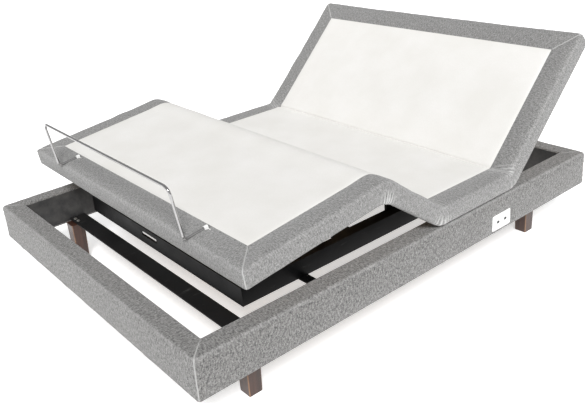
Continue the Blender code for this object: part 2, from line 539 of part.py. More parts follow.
for side, s in SIDES:
    x0, x1 = mirrored(PLATE_X - PLATE_T, PLATE_X, s)
    end = BACK_L - SKIRT_T - 0.03
    plate = extrusion(f"back_plate_{side}", [filleted([
        (-R, R, arc), (-R, P_LOW, 0.008), (end, P_LOW, 0.003), (end, P_TOP, 0.002), (R + 0.002, P_TOP, 0.001),
        (R, R, arc)]), hole(0, 0, PIN_R + 0.0004)], "X", x0, x1, BLACK_STEEL, back)

    plate = extrusion(f"thigh_plate_{side}", [filleted([
        (R, R, arc), (-R, R, arc), (-R - 0.002, P_TOP, 0.001), (k + R + 0.002, P_TOP, 0.001), (k + R, R, arc),
        (k - R, R, arc), (k - R, -R, arc), (k + 0.006, -R, 0.002), (k + NECK + 0.003, P_LOW, 0.003), (R, P_LOW, 0.008)]),
        hole(0, 0, PIN_R + 0.0004)], "X", x0, x1, BLACK_STEEL, thigh)
    pin0, pin1 = mirrored(PLATE_X - 2 * PLATE_T - 0.007, PLATE_X - 0.002, s)
    boolean(plate, cylinder(f"knee_pin_{side}", ((pin0 + pin1) / 2, k, 0), "X", PIN_R, pin1 - pin0, None, thigh), "UNION")

    # the foot plate runs just inside the thigh plate, with an ear for the link
    x0, x1 = mirrored(PLATE_X - 2 * PLATE_T - 0.004, PLATE_X - PLATE_T - 0.004, s)
    end = e + SKIRT_T + 0.03
    a = -LINK_AT
    plate = extrusion(f"foot_plate_{side}", [filleted([
        (R, R, arc), (-R, R, arc), (-R - 0.002, P_TOP, 0.001), (end, P_TOP, 0.002), (end, P_LOW, 0.003),
        (a - 0.045, P_LOW, 0.01), (a - 0.014, -LINK_DROP - 0.014, 0.013), (a + 0.014, -LINK_DROP - 0.014, 0.013),
        (a + 0.045, P_LOW, 0.01), (-NECK - 0.003, P_LOW, 0.003), (-0.007, -R - 0.001, 0.002), (R, -R, arc)]),
        hole(0, 0, PIN_R + 0.0004), hole(a, -LINK_DROP, LINK_PIN_R + 0.0004)], "X", x0, x1, BLACK_STEEL, foot)

    # foot link: a flat bar from the carriage's pin to the ear, whose own stub stops short of the ear
    length = hypot(rest_pin[0] - link_y, rest_pin[1] - link_z)
    rise = atan2(rest_pin[1] - link_z, link_y - rest_pin[0])
    base = pivot(f"link_pivot_{side}", (0, link_y, link_z), -rise, carriage)
    hw = LINK_W / 2
    x0, x1 = mirrored(BAR_X0 - 0.017, BAR_X0 - 0.009, s)
    link = extrusion(f"foot_link_{side}", [filleted([
        (hw, hw, hw * 0.98), (-length - hw, hw, hw * 0.98), (-length - hw, -hw, hw * 0.98), (hw, -hw, hw * 0.98)], 6),
        hole(0, 0, LINK_PIN_R + 0.0004)], "X", x0, x1, BLACK_STEEL, base)
    pin0, pin1 = mirrored(PLATE_X - PLATE_T - 0.0015, BAR_X0 - 0.011, s)
    boolean(link, cylinder(f"link_stub_{side}", ((pin0 + pin1) / 2, -length, 0), "X", LINK_PIN_R, pin1 - pin0, None, base),
            "UNION")


def lever_rib(name, forward, x_mid, parent):
    """A cross tube between a section's plates with two lever cheeks that hang below the hinge axis."""
    d = forward
    u0, u1 = sorted((d * 0.035, d * 0.065))
    inside = PLATE_X - PLATE_T - FIT
    rib = extrusion(name, tube_outline(u0, u1, P_LOW, P_TOP, 0.003), "X", -inside, inside, BLACK_STEEL, parent)
    py, pz = d * LEVER_OUT, -LEVER_DROP
    for side_k in (-1, 1):
        a = x_mid + side_k * (FORK_GAP / 2 + LEVER_T / 2)
        pts = [(d * 0.064, P_LOW + 0.002, 0.0), (d * 0.036, P_LOW + 0.002, 0.0), (py - d * 0.0165, pz - 0.0165, 0.016),
               (py + d * 0.0165, pz - 0.0165, 0.016)]
        cheek = extrusion(f"{name}_cheek_{side_k}", [filleted(pts), hole(py, pz, ACT_PIN_R)], "X",
                          a - LEVER_T / 2, a + LEVER_T / 2, None, parent)
        boolean(rib, cheek, "UNION")


lever_rib("back_lever_rib", 1, ACT_X, back)
lever_rib("thigh_lever_rib", -1, -ACT_X, thigh)

# ----------------------------------------------------------------- actuators


def lever_pin(section_y, section_up, forward):
    """Where a raised section's lever pin is in this pose."""
    u, w_ = LEVER_OUT, -LEVER_DROP
    y = u * cos(section_up) - w_ * sin(section_up)
    return section_y + forward * y, AXIS_Z + u * sin(section_up) + w_ * cos(section_up)


def actuator(name, base, target, x_mid, forward, motor_side):
    """Motor, gearbox and outer tube on the rear pivot, and the rod that slides in the tube."""
    reach = hypot(target[0] - base[0], target[1] - base[1])
    rise = atan2(target[1] - base[1], abs(target[0] - base[0]))
    axis = pivot(f"{name}_pivot", (x_mid, *base), forward * rise, carriage)
    f = forward

    def span(a, b):
        return tuple(sorted((f * a, f * b)))

    gear_y = span(0.030, 0.085)
    g0, g1 = sorted((-0.032, 0.032 + 0.058))
    if motor_side < 0:
        g0, g1 = -g1, -g0
    body = box(name, (g0, gear_y[0], -0.030), (g1, gear_y[1], 0.030), BLACK_PLASTIC, axis)
    eye_w = FORK_GAP / 2 - 0.003
    boolean(body, box(f"{name}_eye_block", (-eye_w, span(0.0, 0.036)[0], -0.014), (eye_w, span(0.0, 0.036)[1], 0.014), None,
                      axis), "UNION")
    boolean(body, cylinder(f"{name}_eye", (0, 0, 0), "X", 0.014, 2 * eye_w, None, axis), "UNION")
    boolean(body, cylinder(f"{name}_outer_tube", (0, f * (0.080 + TUBE_L) / 2, 0), "Y", TUBE_R, TUBE_L - 0.080, None, axis,
                           28), "UNION")
    boolean(body, cylinder(f"{name}_motor", (motor_side * 0.058, f * (0.080 + MOTOR_L / 2), 0), "Y", MOTOR_R, MOTOR_L, None,
                           axis, 28), "UNION")
    boolean(body, cylinder(f"{name}_eye_bore", (0, 0, 0), "X", ACT_PIN_R + 0.0004, 0.08, None, axis))
    boolean(body, cylinder(f"{name}_tube_bore", (0, f * (0.160 + TUBE_L + 0.05) / 2, 0), "Y", ROD_R + 0.001,
                           TUBE_L + 0.05 - 0.160, None, axis, 28))
    rod_end = reach - 0.030
    rod = cylinder(f"{name}_rod", (0, f * (reach - ROD_L + rod_end) / 2, 0), "Y", ROD_R, rod_end - reach + ROD_L,
                   BRIGHT_STEEL, axis, 24)
    boolean(rod, box(f"{name}_rod_tongue", (-0.006, span(rod_end - 0.01, reach)[0], -0.010),
                     (0.006, span(rod_end - 0.01, reach)[1], 0.010), None, axis), "UNION")
    boolean(rod, cylinder(f"{name}_rod_eye", (0, f * reach, 0), "X", 0.013, 0.012, None, axis), "UNION")
    boolean(rod, cylinder(f"{name}_rod_bore", (0, f * reach, 0), "X", ACT_PIN_R, 0.06, None, axis))


actuator("back_actuator", back_act, lever_pin(BACK_Y, BACK_UP, 1), ACT_X, 1, 1)
actuator("leg_actuator", leg_act, lever_pin(THIGH_Y, THIGH_UP, -1), -ACT_X, -1, -1)

# ------------------------------------------------------ mattress retainer bar
over = TOP + RET_R + 0.0015
corner = [Vector((RET_X, e + RET_SEAT, over)), Vector((RET_X, e - RET_OVER, over)),
          Vector((RET_X, e - RET_OVER - RET_LEAN, TOP + RET_H)), Vector((-RET_X, e - RET_OVER - RET_LEAN, TOP + RET_H)),
          Vector((-RET_X, e - RET_OVER, over)), Vector((-RET_X, e + RET_SEAT, over))]
bends = (0, 0.012, RET_BEND, RET_BEND, 0.012, 0)
path = []
for i, (here, r) in enumerate(zip(corner, bends)):
    if not r:
        path.append(here)
        continue
    a, b = (corner[i - 1] - here).normalized(), (corner[i + 1] - here).normalized()
    half = a.angle(b) / 2
    centre = here + (a + b).normalized() * (r / sin(half))
    s0, s1 = here + a * (r / tan(half)) - centre, here + b * (r / tan(half)) - centre
    path += [centre + s0.lerp(s1, j / 6).normalized() * r for j in range(7)]
wire = bpy.data.curves.new("retainer_wire", "CURVE")
wire.dimensions, wire.bevel_depth, wire.bevel_resolution, wire.use_fill_caps = "3D", RET_R, 2, True
spline = wire.splines.new("POLY")
spline.points.add(len(path) - 1)
for point, co in zip(spline.points, path):
    point.co = (*co, 1)
bent = bpy.data.objects.new("retainer_wire", wire)
bpy.context.scene.collection.objects.link(bent)
bpy.context.view_layer.update()
mesh = bpy.data.meshes.new_from_object(bent.evaluated_get(bpy.context.evaluated_depsgraph_get()))
bm = bmesh.new()
bm.from_mesh(mesh)
bmesh.ops.remove_doubles(bm, verts=bm.verts, dist=0.00001)
bmesh.ops.recalc_face_normals(bm, faces=bm.faces)
bm.to_mesh(mesh)
bm.free()
bpy.data.objects.remove(bent)
retainer = place(mesh, "retainer_bar", CHROME, foot)
for side, s in SIDES:
    x0, x1 = mirrored(RET_X - 0.011, RET_X + 0.011, s)
    boolean(retainer, box(f"retainer_foot_{side}", (x0, e + RET_SEAT - 0.018, TOP + 0.0006),
                          (x1, e + RET_SEAT + 0.010, TOP + 0.0145), None, foot), "UNION")

for obj in parts.objects:
    if obj.type == "MESH" and obj.name.startswith(("roller", "retainer", "back_actuator", "leg_actuator")):
        obj.data.shade_smooth()
        obj.data.set_sharp_from_angle(angle=radians(35))
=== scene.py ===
"""Adjustable bed base: an upholstered box on four wooden legs, a black steel
frame inside it, and a four-section deck on a rolling carriage that two linear
actuators lift. The sections below follow the bed as it is put together, from
the floor up. Metres, +Z up, head end at +Y, in the frame of the CAD model.
"""
import json
from math import cos, pi, radians, sin

import bpy
import numpy as np
from mathutils import Matrix, Vector


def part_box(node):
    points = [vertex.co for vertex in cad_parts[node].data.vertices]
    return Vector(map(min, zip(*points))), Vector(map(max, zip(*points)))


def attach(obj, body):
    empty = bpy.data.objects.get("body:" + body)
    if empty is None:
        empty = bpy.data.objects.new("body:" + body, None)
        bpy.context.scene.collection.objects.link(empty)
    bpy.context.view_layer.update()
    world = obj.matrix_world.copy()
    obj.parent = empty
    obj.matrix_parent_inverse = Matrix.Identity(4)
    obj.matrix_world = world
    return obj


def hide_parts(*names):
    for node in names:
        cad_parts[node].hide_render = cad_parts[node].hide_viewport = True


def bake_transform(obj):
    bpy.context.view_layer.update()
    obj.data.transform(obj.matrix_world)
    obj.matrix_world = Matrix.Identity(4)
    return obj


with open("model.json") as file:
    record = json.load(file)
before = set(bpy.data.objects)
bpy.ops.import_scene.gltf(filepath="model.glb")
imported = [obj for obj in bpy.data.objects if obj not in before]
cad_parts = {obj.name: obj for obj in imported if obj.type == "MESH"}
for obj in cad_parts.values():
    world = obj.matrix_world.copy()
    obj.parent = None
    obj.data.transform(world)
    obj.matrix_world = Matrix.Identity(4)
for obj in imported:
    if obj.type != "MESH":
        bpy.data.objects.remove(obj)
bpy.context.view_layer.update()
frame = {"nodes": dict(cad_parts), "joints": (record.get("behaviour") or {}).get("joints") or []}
nodes = frame["nodes"]
joint = {j["name"]: j for j in frame["joints"]}

# ------------------------------------------------------------------ the studio
# A pale seamless floor under a white sky, with a strong and a weak soft-edged
# sun, and the camera at standing height beyond the foot end's right corner.
scene = bpy.context.scene
scene.view_settings.view_transform = "Standard"


def put(slot, value):
    """Links a node's output into an input, or sets the input to a plain value."""
    if isinstance(value, bpy.types.NodeSocket):
        slot.id_data.links.new(value, slot)
    else:
        slot.default_value = value


def feed(made, **inputs):
    """Puts values or links into a node's inputs by name, _ standing for a space (In0 is the first)."""
    for name, value in inputs.items():
        first_ones = name[:2] == "In" and name[2:].isdigit()
        put(made.inputs[int(name[2:]) if first_ones else name.replace("_", " ")], value)


def add(tree, kind, **settings):
    """A shader node: settings in small letters are its own properties, the others its inputs."""
    made = tree.nodes.new("ShaderNode" + kind)
    for name in [name for name in settings if name[0].islower()]:
        setattr(made, name, settings.pop(name))
    feed(made, **settings)
    return made


def finish_of(name, **settings):
    """A new Principled material: itself, its tree, its shader node, and the Object place."""
    made = bpy.data.materials.new(name)
    made.use_nodes = True
    shader = made.node_tree.nodes["Principled BSDF"]
    feed(shader, **settings)
    return made, made.node_tree, shader, add(made.node_tree, "TexCoord").outputs["Object"]


sky = bpy.data.worlds.new("white_studio")
sky.use_nodes = True
scene.world = sky
SKY_LIGHT = 0.42    # how strongly the sky lights the bed; behind it the sky is plain white
seen = add(sky.node_tree, "LightPath").outputs["Is Camera Ray"]
glow = add(sky.node_tree, "MapRange", Value=seen, To_Min=SKY_LIGHT, To_Max=1.0).outputs[0]
feed(sky.node_tree.nodes["Background"], Color=(1, 1, 1, 1), Strength=glow)

FLOOR = 30.0    # half its side
floor_mesh = bpy.data.meshes.new("floor")
floor_mesh.from_pydata([(-FLOOR, -FLOOR, 0), (FLOOR, -FLOOR, 0), (FLOOR, FLOOR, 0), (-FLOOR, FLOOR, 0)],
    [], [(0, 1, 2, 3)])
floor = bpy.data.objects.new("floor", floor_mesh)
scene.collection.objects.link(floor)
floor_mesh.materials.append(finish_of("pale_floor", Base_Color=(0.93, 0.93, 0.93, 1), Roughness=0.9,
    Emission_Color=(1, 1, 1, 1), Emission_Strength=0.52)[0])

for name, towards, power, spread in (("key_sun", (-0.80, 0.56, -0.95), 2.85, 16.0),
        ("fill_sun", (-1.0, 0.1, -0.35), 0.25, 70.0)):
    lamp = bpy.data.lights.new(name, "SUN")
    lamp.energy, lamp.angle = power, radians(spread)
    light = bpy.data.objects.new(name, lamp)
    scene.collection.objects.link(light)
    light.rotation_euler = Vector(towards).to_track_quat("-Z", "Y").to_euler()

FOCAL_SHARE, AXIS_RIGHT, AXIS_UP = 1.2586, 0.0198, -0.0899    # of the frame's width
STANDPOINT = (2.305, -1.840, 1.587)
yaw, pitch, roll = radians(52.39), radians(-20.86), radians(-4.897)
ahead = Vector((-sin(yaw) * cos(pitch), cos(yaw) * cos(pitch), sin(pitch)))
level = ahead.cross(Vector((0, 0, 1))).normalized()
above = level.cross(ahead)
lens = bpy.data.cameras.new("camera")
lens.sensor_width = 36.0
lens.lens = 36.0 * FOCAL_SHARE
lens.shift_x, lens.shift_y = AXIS_RIGHT, AXIS_UP
camera = bpy.data.objects.new("camera", lens)
scene.collection.objects.link(camera)
turn = Matrix((level * cos(roll) + above * sin(roll), above * cos(roll) - level * sin(roll), -ahead))
camera.matrix_world = Matrix.Translation(STANDPOINT) @ turn.transposed().to_4x4()
scene.camera = camera

# ------------------------------------------------------------------------ legs
# Four solid timber legs, square and slightly tapered, stained a dark reddish
# brown under a satin lacquer. Their sharp corners are painted paler, partly as rubbed wear and partly
# as a painted highlight.


def calc(operation, *values, clamp=False):
    """One Math node over sockets and plain numbers, in the tree of the sockets; its output."""
    tree = next(value.id_data for value in values if isinstance(value, bpy.types.NodeSocket))
    made = add(tree, "Math", operation=operation, use_clamp=clamp)
    for slot, value in zip(made.inputs, values):
        put(slot, value)
    return made.outputs[0]


def times(a, b):
    """a * b"""
    return calc("MULTIPLY", a, b)


def plus(a, b):
    """a + b"""
    return calc("ADD", a, b)


def less(a, b):
    """a - b"""
    return calc("SUBTRACT", a, b)


def mixed(share, first, second):
    """The colour between first and second at that share; a plain colour is given as (r, g, b)."""
    first, second = (c if isinstance(c, bpy.types.NodeSocket) else (*c, 1.0) for c in (first, second))
    return add(share.id_data, "Mix", data_type="RGBA", In0=share, In6=first, In7=second).outputs[2]


def noise(where, scale, detail=3.0, rough=0.5, stretch=None, turn=(0, 0, 0)):
    """A noise mask over the place `where`, stretched by a Mapping node when asked."""
    tree = where.id_data
    if stretch:
        where = add(tree, "Mapping", Vector=where, Scale=stretch, Rotation=turn).outputs[0]
    return add(tree, "TexNoise", Vector=where, Scale=scale, Detail=detail, Roughness=rough).outputs[0]


def ramp(value, low, high, out_low=0.0, out_high=1.0):
    """A value carried from the range low..high to out_low..out_high, held at both ends."""
    return add(value.id_data, "MapRange", Value=value, From_Min=low, From_Max=high, To_Min=out_low,
        To_Max=out_high).outputs[0]


def shader_group(name, inputs, outputs):
    """An empty node group with those sockets: its tree, its inputs and its output node."""
    tree = bpy.data.node_groups.new(name, "ShaderNodeTree")
    for side, sockets in (("INPUT", inputs), ("OUTPUT", outputs)):
        for label, (kind, value) in sockets.items():
            made = tree.interface.new_socket(name=label, in_out=side, socket_type="NodeSocket" + kind)
            if value is not None:
                made.default_value = value
    return tree, tree.nodes.new("NodeGroupInput").outputs, tree.nodes.new("NodeGroupOutput").inputs


def use(tree, name, **values):
    """That node group placed in a material's tree, with its inputs set or linked."""
    made = tree.nodes.new("ShaderNodeGroup")
    made.node_tree = bpy.data.node_groups[name]
    feed(made, **values)
    return made.outputs


def relief(shader, height, distance, strength):
    """Feeds a height into the shader's Normal through a Bump node."""
    feed(shader, Normal=add(shader.id_data, "Bump", Height=height, Distance=distance,
        Strength=strength).outputs[0])


def dress(material, *names):
    """Puts the material on those CAD nodes."""
    for name in names:
        nodes[name].data.materials.clear()
        nodes[name].data.materials.append(material)


# Grain that runs along Z: long noise streaks, pores, and growth bands.
grain, given, out = shader_group("long_grain", {"Place": ("Vector", None),
    "Dark": ("Color", (0.03, 0.01, 0.006, 1)), "Light": ("Color", (0.12, 0.045, 0.025, 1))},
    {"Colour": ("Color", None), "Height": ("Float", None)})
streaks = noise(given["Place"], 60.0, 6.0, 0.6, (1.0, 1.0, 0.06))
bands = noise(given["Place"], 18.0, 3.0, 0.5, (1.0, 1.0, 0.09))
pores = noise(given["Place"], 420.0, 2.0, 0.6, (1.0, 1.0, 0.05))
share = plus(times(streaks, 0.65), times(bands, 0.45))
tone = mixed(ramp(share, 0.36, 0.74), given["Dark"], given["Light"])
put(out["Colour"], mixed(ramp(pores, 0.58, 0.7, 0.0, 0.45), tone, (0.012, 0.005, 0.004)))
put(out["Height"], less(times(streaks, 0.5), ramp(pores, 0.55, 0.72)))

# Rubbed and lit corners: a mask of where both |x| and |y| are close to half the leg's width there. It
# paints the corners paler, partly as wear and partly as a painted highlight line.
corner_tree, given, out = shader_group("corner_wear_and_highlight", {"Place": ("Vector", None), "Half": ("Float", 0.03),
    "Taper": ("Float", 0.0), "Width": ("Float", 0.004)}, {"Mask": ("Float", None)})
parts = add(corner_tree, "SeparateXYZ", Vector=given["Place"]).outputs
edge = plus(given["Half"], times(parts["Z"], given["Taper"]))
gap = calc("MAXIMUM", *(less(edge, calc("ABSOLUTE", parts[axis])) for axis in ("X", "Y")))
chipped = noise(given["Place"], 55.0, 4.0, 0.6, (1.0, 1.0, 0.35))
put(out["Mask"], times(less(1.0, ramp(calc("DIVIDE", gap, given["Width"]), 0.35, 1.0)),
    ramp(chipped, 0.35, 0.6, 0.35, 1.0)))

for name in ("leg_head_left", "leg_head_right", "leg_foot_left", "leg_foot_right"):
    low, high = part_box(name)
    middle, half = (low + high) / 2, (high.x - low.x) / 2
    stain, tree, shader, place = finish_of("leg_stain_" + name, Roughness=0.38, Coat_Weight=0.25,
        Coat_Roughness=0.2)
    centred = add(tree, "Mapping", Vector=place, Location=(-middle.x, -middle.y, 0.0)).outputs[0]
    wood = use(tree, "long_grain", Place=centred, Dark=(0.016, 0.006, 0.004, 1),
        Light=(0.068, 0.026, 0.015, 1))
    # the corner mask mixes in a pale colour: rubbed wear plus a painted highlight along the corners
    wear_and_highlight = use(tree, "corner_wear_and_highlight", Place=centred, Half=0.0265, Taper=0.0205, Width=0.0042)["Mask"]
    feed(shader, Base_Color=mixed(times(wear_and_highlight, 0.6), wood["Colour"], (0.42, 0.24, 0.13)))
    feed(shader, Roughness=plus(ramp(noise(centred, 25.0), 0.3, 0.7, 0.3, 0.46), times(wear_and_highlight, 0.15)))
    relief(shader, wood["Height"], 0.0004, 0.5)
    dress(stain, name)

# ---------------------------------------------------------------- inner boards
# The rails' inner timber boards, stapled over with a thin black lining that
# shows a fine crinkle.
lining, tree, shader, place = finish_of("black_lining", Roughness=0.62, Sheen_Weight=0.15)
crinkle = noise(place, 28.0, 5.0, 0.6)
threads = noise(place, 900.0, 2.0, 0.5)
feed(shader, Base_Color=mixed(ramp(crinkle, 0.35, 0.7), (0.019, 0.019, 0.020), (0.056, 0.055, 0.053)))
feed(shader, Roughness=ramp(crinkle, 0.3, 0.7, 0.5, 0.72))
relief(shader, plus(crinkle, times(threads, 0.08)), 0.004, 0.5)
dress(lining, *(f"rail_board_{side}" for side in ("left", "right", "head", "foot")))

# ----------------------------------------------------------- upholstered rails
# Four padded rails: foam over a timber board, wrapped in a heather-grey woven
# cloth that is sewn at the mitred corners and stapled along the inner edge.
RAIL_PAD, RAIL_LIP, BOARD_T = 0.077, 0.0067, 0.018
ROUND_TOP, ROUND_LOW, CORNER, INNER_ROUND = 0.016, 0.008, 0.011, 0.003
RAIL_SWELL, RAIL_STEP = 0.0035, 0.012    # the most that the foam pushes out; between rows
low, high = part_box("rail_cover_right")
RAIL_LOW, RAIL_TOP = low.z, high.z
HALF_W, HALF_L = high.x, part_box("rail_cover_head")[1].y


def unit(x):
    """x held between 0 and 1"""
    return np.clip(x, 0, 1)


def bell(x, width):
    """exp(-(x / width) ** 2)"""
    return np.exp(-(x / width) ** 2)


def corner_arc(before, here, after, radius, count):
    """`count(sweep)` points of the arc of that radius at the corner `here`. Its two ends
    touch the lines to the points before and after, and a point between them is
    (sin((1 - k) sweep) first + sin(k sweep) last) / sin(sweep) from the arc's centre."""
    a, b = before - here, after - here
    a, b = a / np.linalg.norm(a), b / np.linalg.norm(b)
    half = np.arccos(np.clip(a @ b, -1, 1)) / 2
    centre = here + (a + b) / np.linalg.norm(a + b) * radius / np.sin(half)
    first, last = here + a * radius / np.tan(half) - centre, here + b * radius / np.tan(half) - centre
    sweep = pi - 2 * half
    k = np.linspace(0, 1, count(sweep))[:, None]
    return centre + (np.sin((1 - k) * sweep) * first + np.sin(k * sweep) * last) / np.sin(sweep)


def rounded_line(corners, step):
    """A closed line of points about `step` apart, through (a, b, radius) corners,
    with an arc of that radius at each corner."""
    corners = [np.array(c, float) for c in corners]
    count, points = len(corners), []
    for i, c in enumerate(corners):
        here, r = c[:2], c[2]
        before, after = corners[i - 1][:2], corners[(i + 1) % count][:2]
        points.append(here[None] if r == 0 else corner_arc(
            before, here, after, r, lambda sweep: max(3, int(np.ceil(sweep * r / step * 1.6)) + 1)))
    line = np.vstack(points + [points[0][:1]])
    pieces = []
    for a, b in zip(line[:-1], line[1:]):
        n = max(1, int(np.ceil(np.linalg.norm(b - a) / step)))
        pieces.append(a + (b - a) * np.linspace(0, 1, n, endpoint=False)[:, None])
    return np.vstack(pieces)


def across_normal(grid):
    """The unit normal at each point of a tube of points: the step along the rows crossed with
    the step round them, each taken between the two neighbours; and whether it points inwards."""
    normal = np.cross(np.gradient(grid, axis=0), np.roll(grid, -1, 1) - np.roll(grid, 1, 1))
    normal /= np.maximum(np.linalg.norm(normal, axis=-1, keepdims=True), 1e-12)
    return normal, np.sum(normal * (grid - grid.mean(1, keepdims=True))) < 0


def tube_faces(rows, cols):
    """Which four points each face of a tube joins, (i, j), (i + 1, j), (i + 1, j + 1) and
    (i, j + 1), the last column being joined to the first."""
    i, j = np.indices((rows - 1, cols))
    after = (j + 1) % cols
    return np.stack([i * cols + j, (i + 1) * cols + j, (i + 1) * cols + after, i * cols + after], -1)


def swollen(grid, height):
    """The grid with each point moved outwards, along its normal, by its height."""
    normal, inwards = across_normal(grid)
    return grid + (-normal if inwards else normal) * height[..., None]


def settled(grid, held, most):
    """The grid after 20 frames as cloth blown up from inside, with no gravity: a point
    where held is 1 stays, and none moves further than most * tanh(move / most)."""
    frames, steps = 20, 10    # steps is how finely the hold is graded
    quads = tube_faces(*grid.shape[:2])
    if across_normal(grid)[1]:
        quads = quads[..., ::-1]
    mesh = bpy.data.meshes.new("trial")
    mesh.from_pydata(grid.reshape(-1, 3).tolist(), [], quads.reshape(-1, 4).tolist())
    trial = bpy.data.objects.new("trial", mesh)
    scene.collection.objects.link(trial)
    pins = trial.vertex_groups.new(name="held")
    for tenth in range(steps + 1):
        chosen = np.flatnonzero(np.round(held.ravel() * steps) == tenth)
        if len(chosen):
            pins.add(chosen.tolist(), tenth / steps, "REPLACE")
    blown = trial.modifiers.new("cloth", "CLOTH")
    blown.settings.use_pressure = True
    blown.settings.uniform_pressure_force = 4.0
    blown.settings.effector_weights.gravity = 0.0
    blown.settings.vertex_group_mass = "held"
    blown.settings.quality = 4
    blown.collision_settings.use_collision = False
    blown.point_cache.frame_start, blown.point_cache.frame_end = 1, frames
    for number in range(1, frames + 1):
        scene.frame_set(number)
    after = trial.evaluated_get(bpy.context.evaluated_depsgraph_get()).data
    spots = np.empty(grid.size)
    after.vertices.foreach_get("co", spots)
    bpy.data.objects.remove(trial)
    scene.frame_set(1)
    move = (spots.reshape(grid.shape) - grid) * (1 - held[..., None])
    size = np.linalg.norm(move, axis=-1, keepdims=True)
    return grid + move * (most * np.tanh(size / most) / np.maximum(size, 1e-9))


def sheet_of(name, grid, uv, wear_and_highlight=None):
    """A closed mesh object over a tube of points, its first and last rows shut by a face
    each. A value from 0 to 1 at each point tells the cloth where it is painted paler as a highlight."""
    rows, cols = grid.shape[:2]
    i, j = np.indices((rows - 1, cols))
    faces = tube_faces(rows, cols).reshape(-1, 4).tolist()
    around = len(faces)
    faces += [list(range(cols))[::-1], list(range((rows - 1) * cols, rows * cols))]
    spots = np.stack([uv[i, j], uv[i + 1, j], uv[i + 1, j + 1], uv[i, j + 1]], -2).reshape(-1, 2)
    spots = np.vstack([spots, uv[0, :cols][::-1], uv[-1, :cols]])
    mesh = bpy.data.meshes.new(name)
    mesh.from_pydata(grid.reshape(-1, 3).tolist(), [], faces)
    layer = mesh.uv_layers.new(name="cloth")
    layer.data.foreach_set("uv", spots.astype(np.float32).ravel())
    # the painted highlight value, stored on the mesh for the cloth material to read
    if wear_and_highlight is not None:
        highlight_layer = mesh.attributes.new("wear_and_highlight", "FLOAT", "POINT")
        highlight_layer.data.foreach_set("value", unit(wear_and_highlight).astype(np.float32).ravel())
    mesh.polygons.foreach_set("use_smooth", np.arange(len(faces)) < around)
    if across_normal(grid)[1]:
        mesh.flip_normals()
    mesh.set_sharp_from_angle(angle=radians(65))    # only the closing faces meet so sharply
    obj = bpy.data.objects.new(name, mesh)
    scene.collection.objects.link(obj)
    return obj


def waves(a, b, size, seed):
    """A smooth uneven value from -1 to 1 over the plane: nine sine waves, about
    `size` long, that run at scattered angles."""
    rng = np.random.default_rng(seed)
    total = np.zeros_like(a)
    for _ in range(9):
        angle, phase = rng.uniform(0, 2 * pi), rng.uniform(0, 2 * pi)
        k = 2 * pi / size * rng.uniform(0.6, 1.6)
        total += np.sin(k * (a * np.cos(angle) + b * np.sin(angle)) + phase)
    return total / 4.2


# Woven heather cloth in the piece's own UV, in metres: a plain weave of warp and
# weft yarns, each yarn spun from light and dark fibre, so its tone drifts along it.
# The hollows where a yarn dips under its neighbour are painted darker as shade.
cloth, given, out = shader_group("heather_weave", {"Place": ("Vector", None), "Yarns": ("Float", 700.0),
    "Fleck": ("Float", 210.0), "Dark": ("Color", (0.12, 0.12, 0.12, 1)),
    "Light": ("Color", (0.5, 0.5, 0.49, 1)), "Contrast": ("Float", 1.0)},
    {"Colour": ("Color", None), "Height": ("Float", None), "Fuzz": ("Float", None)})
along = add(cloth, "SeparateXYZ", Vector=given["Place"]).outputs
yarn = [times(along[k], given["Yarns"]) for k in (0, 1)]
index = [calc("FLOOR", y) for y in yarn]
arch = [calc("ABSOLUTE", calc("SINE", times(y, pi))) for y in yarn]
over = calc("ABSOLUTE", calc("MODULO", plus(*index), 2.0))
raised = add(cloth, "Mix", In0=over, In2=times(arch[0], plus(0.4, times(arch[1], 0.6))),
    In3=times(arch[1], plus(0.4, times(arch[0], 0.6)))).outputs[0]
spun = [noise(add(cloth, "CombineXYZ", X=times(index[k], 0.731), Y=times(along[1 - k], 55.0),
    Z=float(k * 7)).outputs[0], 1.0, 3.0, 0.65) for k in (0, 1)]
yarn_tone = add(cloth, "Mix", In0=over, In2=spun[0], In3=spun[1]).outputs[0]
fleck = noise(given["Place"], given["Fleck"], 2.0, 0.6)
cross = noise(given["Place"], given["Fleck"], 2.0, 0.6, (1.0, 0.4, 1.0), (0, 0, 0.6))
cloud = noise(given["Place"], 7.0, 3.0, 0.5)
blend = plus(times(yarn_tone, 0.42), plus(times(fleck, 0.34), times(cross, 0.34)))
centred = times(less(blend, 0.55), given["Contrast"])
drift = plus(0.5, times(less(cloud, 0.5), 0.16))
level_tone = calc("ADD", times(centred, 3.4), drift, clamp=True)
woven = mixed(level_tone, given["Dark"], given["Light"])
# painted shade: the colour goes towards black where a yarn is low, in the hollows of the weave
woven = mixed(ramp(raised, 0.0, 0.55, 0.45, 0.0), woven, (0.03, 0.03, 0.03))
put(out["Colour"], woven)
put(out["Height"], plus(raised, times(fleck, 0.5)))
put(out["Fuzz"], ramp(fleck, 0.3, 0.7))


def heather(name, dark, light, contrast, yarns, fleck):
    """The heather cloth as a material that reads the piece's UV map."""
    made, tree, shader, place = finish_of(name, Roughness=0.95, Sheen_Weight=0.25, Sheen_Roughness=0.45,
        Specular_IOR_Level=0.2)
    spot = add(tree, "UVMap", uv_map="cloth").outputs[0]
    weave = use(tree, "heather_weave", Place=spot, Yarns=yarns, Fleck=fleck, Dark=(*dark, 1),
        Light=(*light, 1), Contrast=contrast)
    # painted highlight: the cloth is mixed towards a pale tone where the mesh's highlight value is high
    wear_and_highlight = add(tree, "Attribute", attribute_type="GEOMETRY", attribute_name="wear_and_highlight").outputs["Fac"]
    pale = tuple(0.35 + 0.65 * c for c in light)
    feed(shader, Base_Color=mixed(times(wear_and_highlight, 0.75), weave["Colour"], pale))
    feed(shader, Roughness=ramp(weave["Fuzz"], 0.0, 1.0, 0.88, 1.0))
    relief(shader, weave["Height"], 0.0006, 0.7)
    return made


rail_cloth = heather("rail_heather", (0.060, 0.059, 0.059), (0.37, 0.364, 0.354), 1.45, 640.0, 175.0)

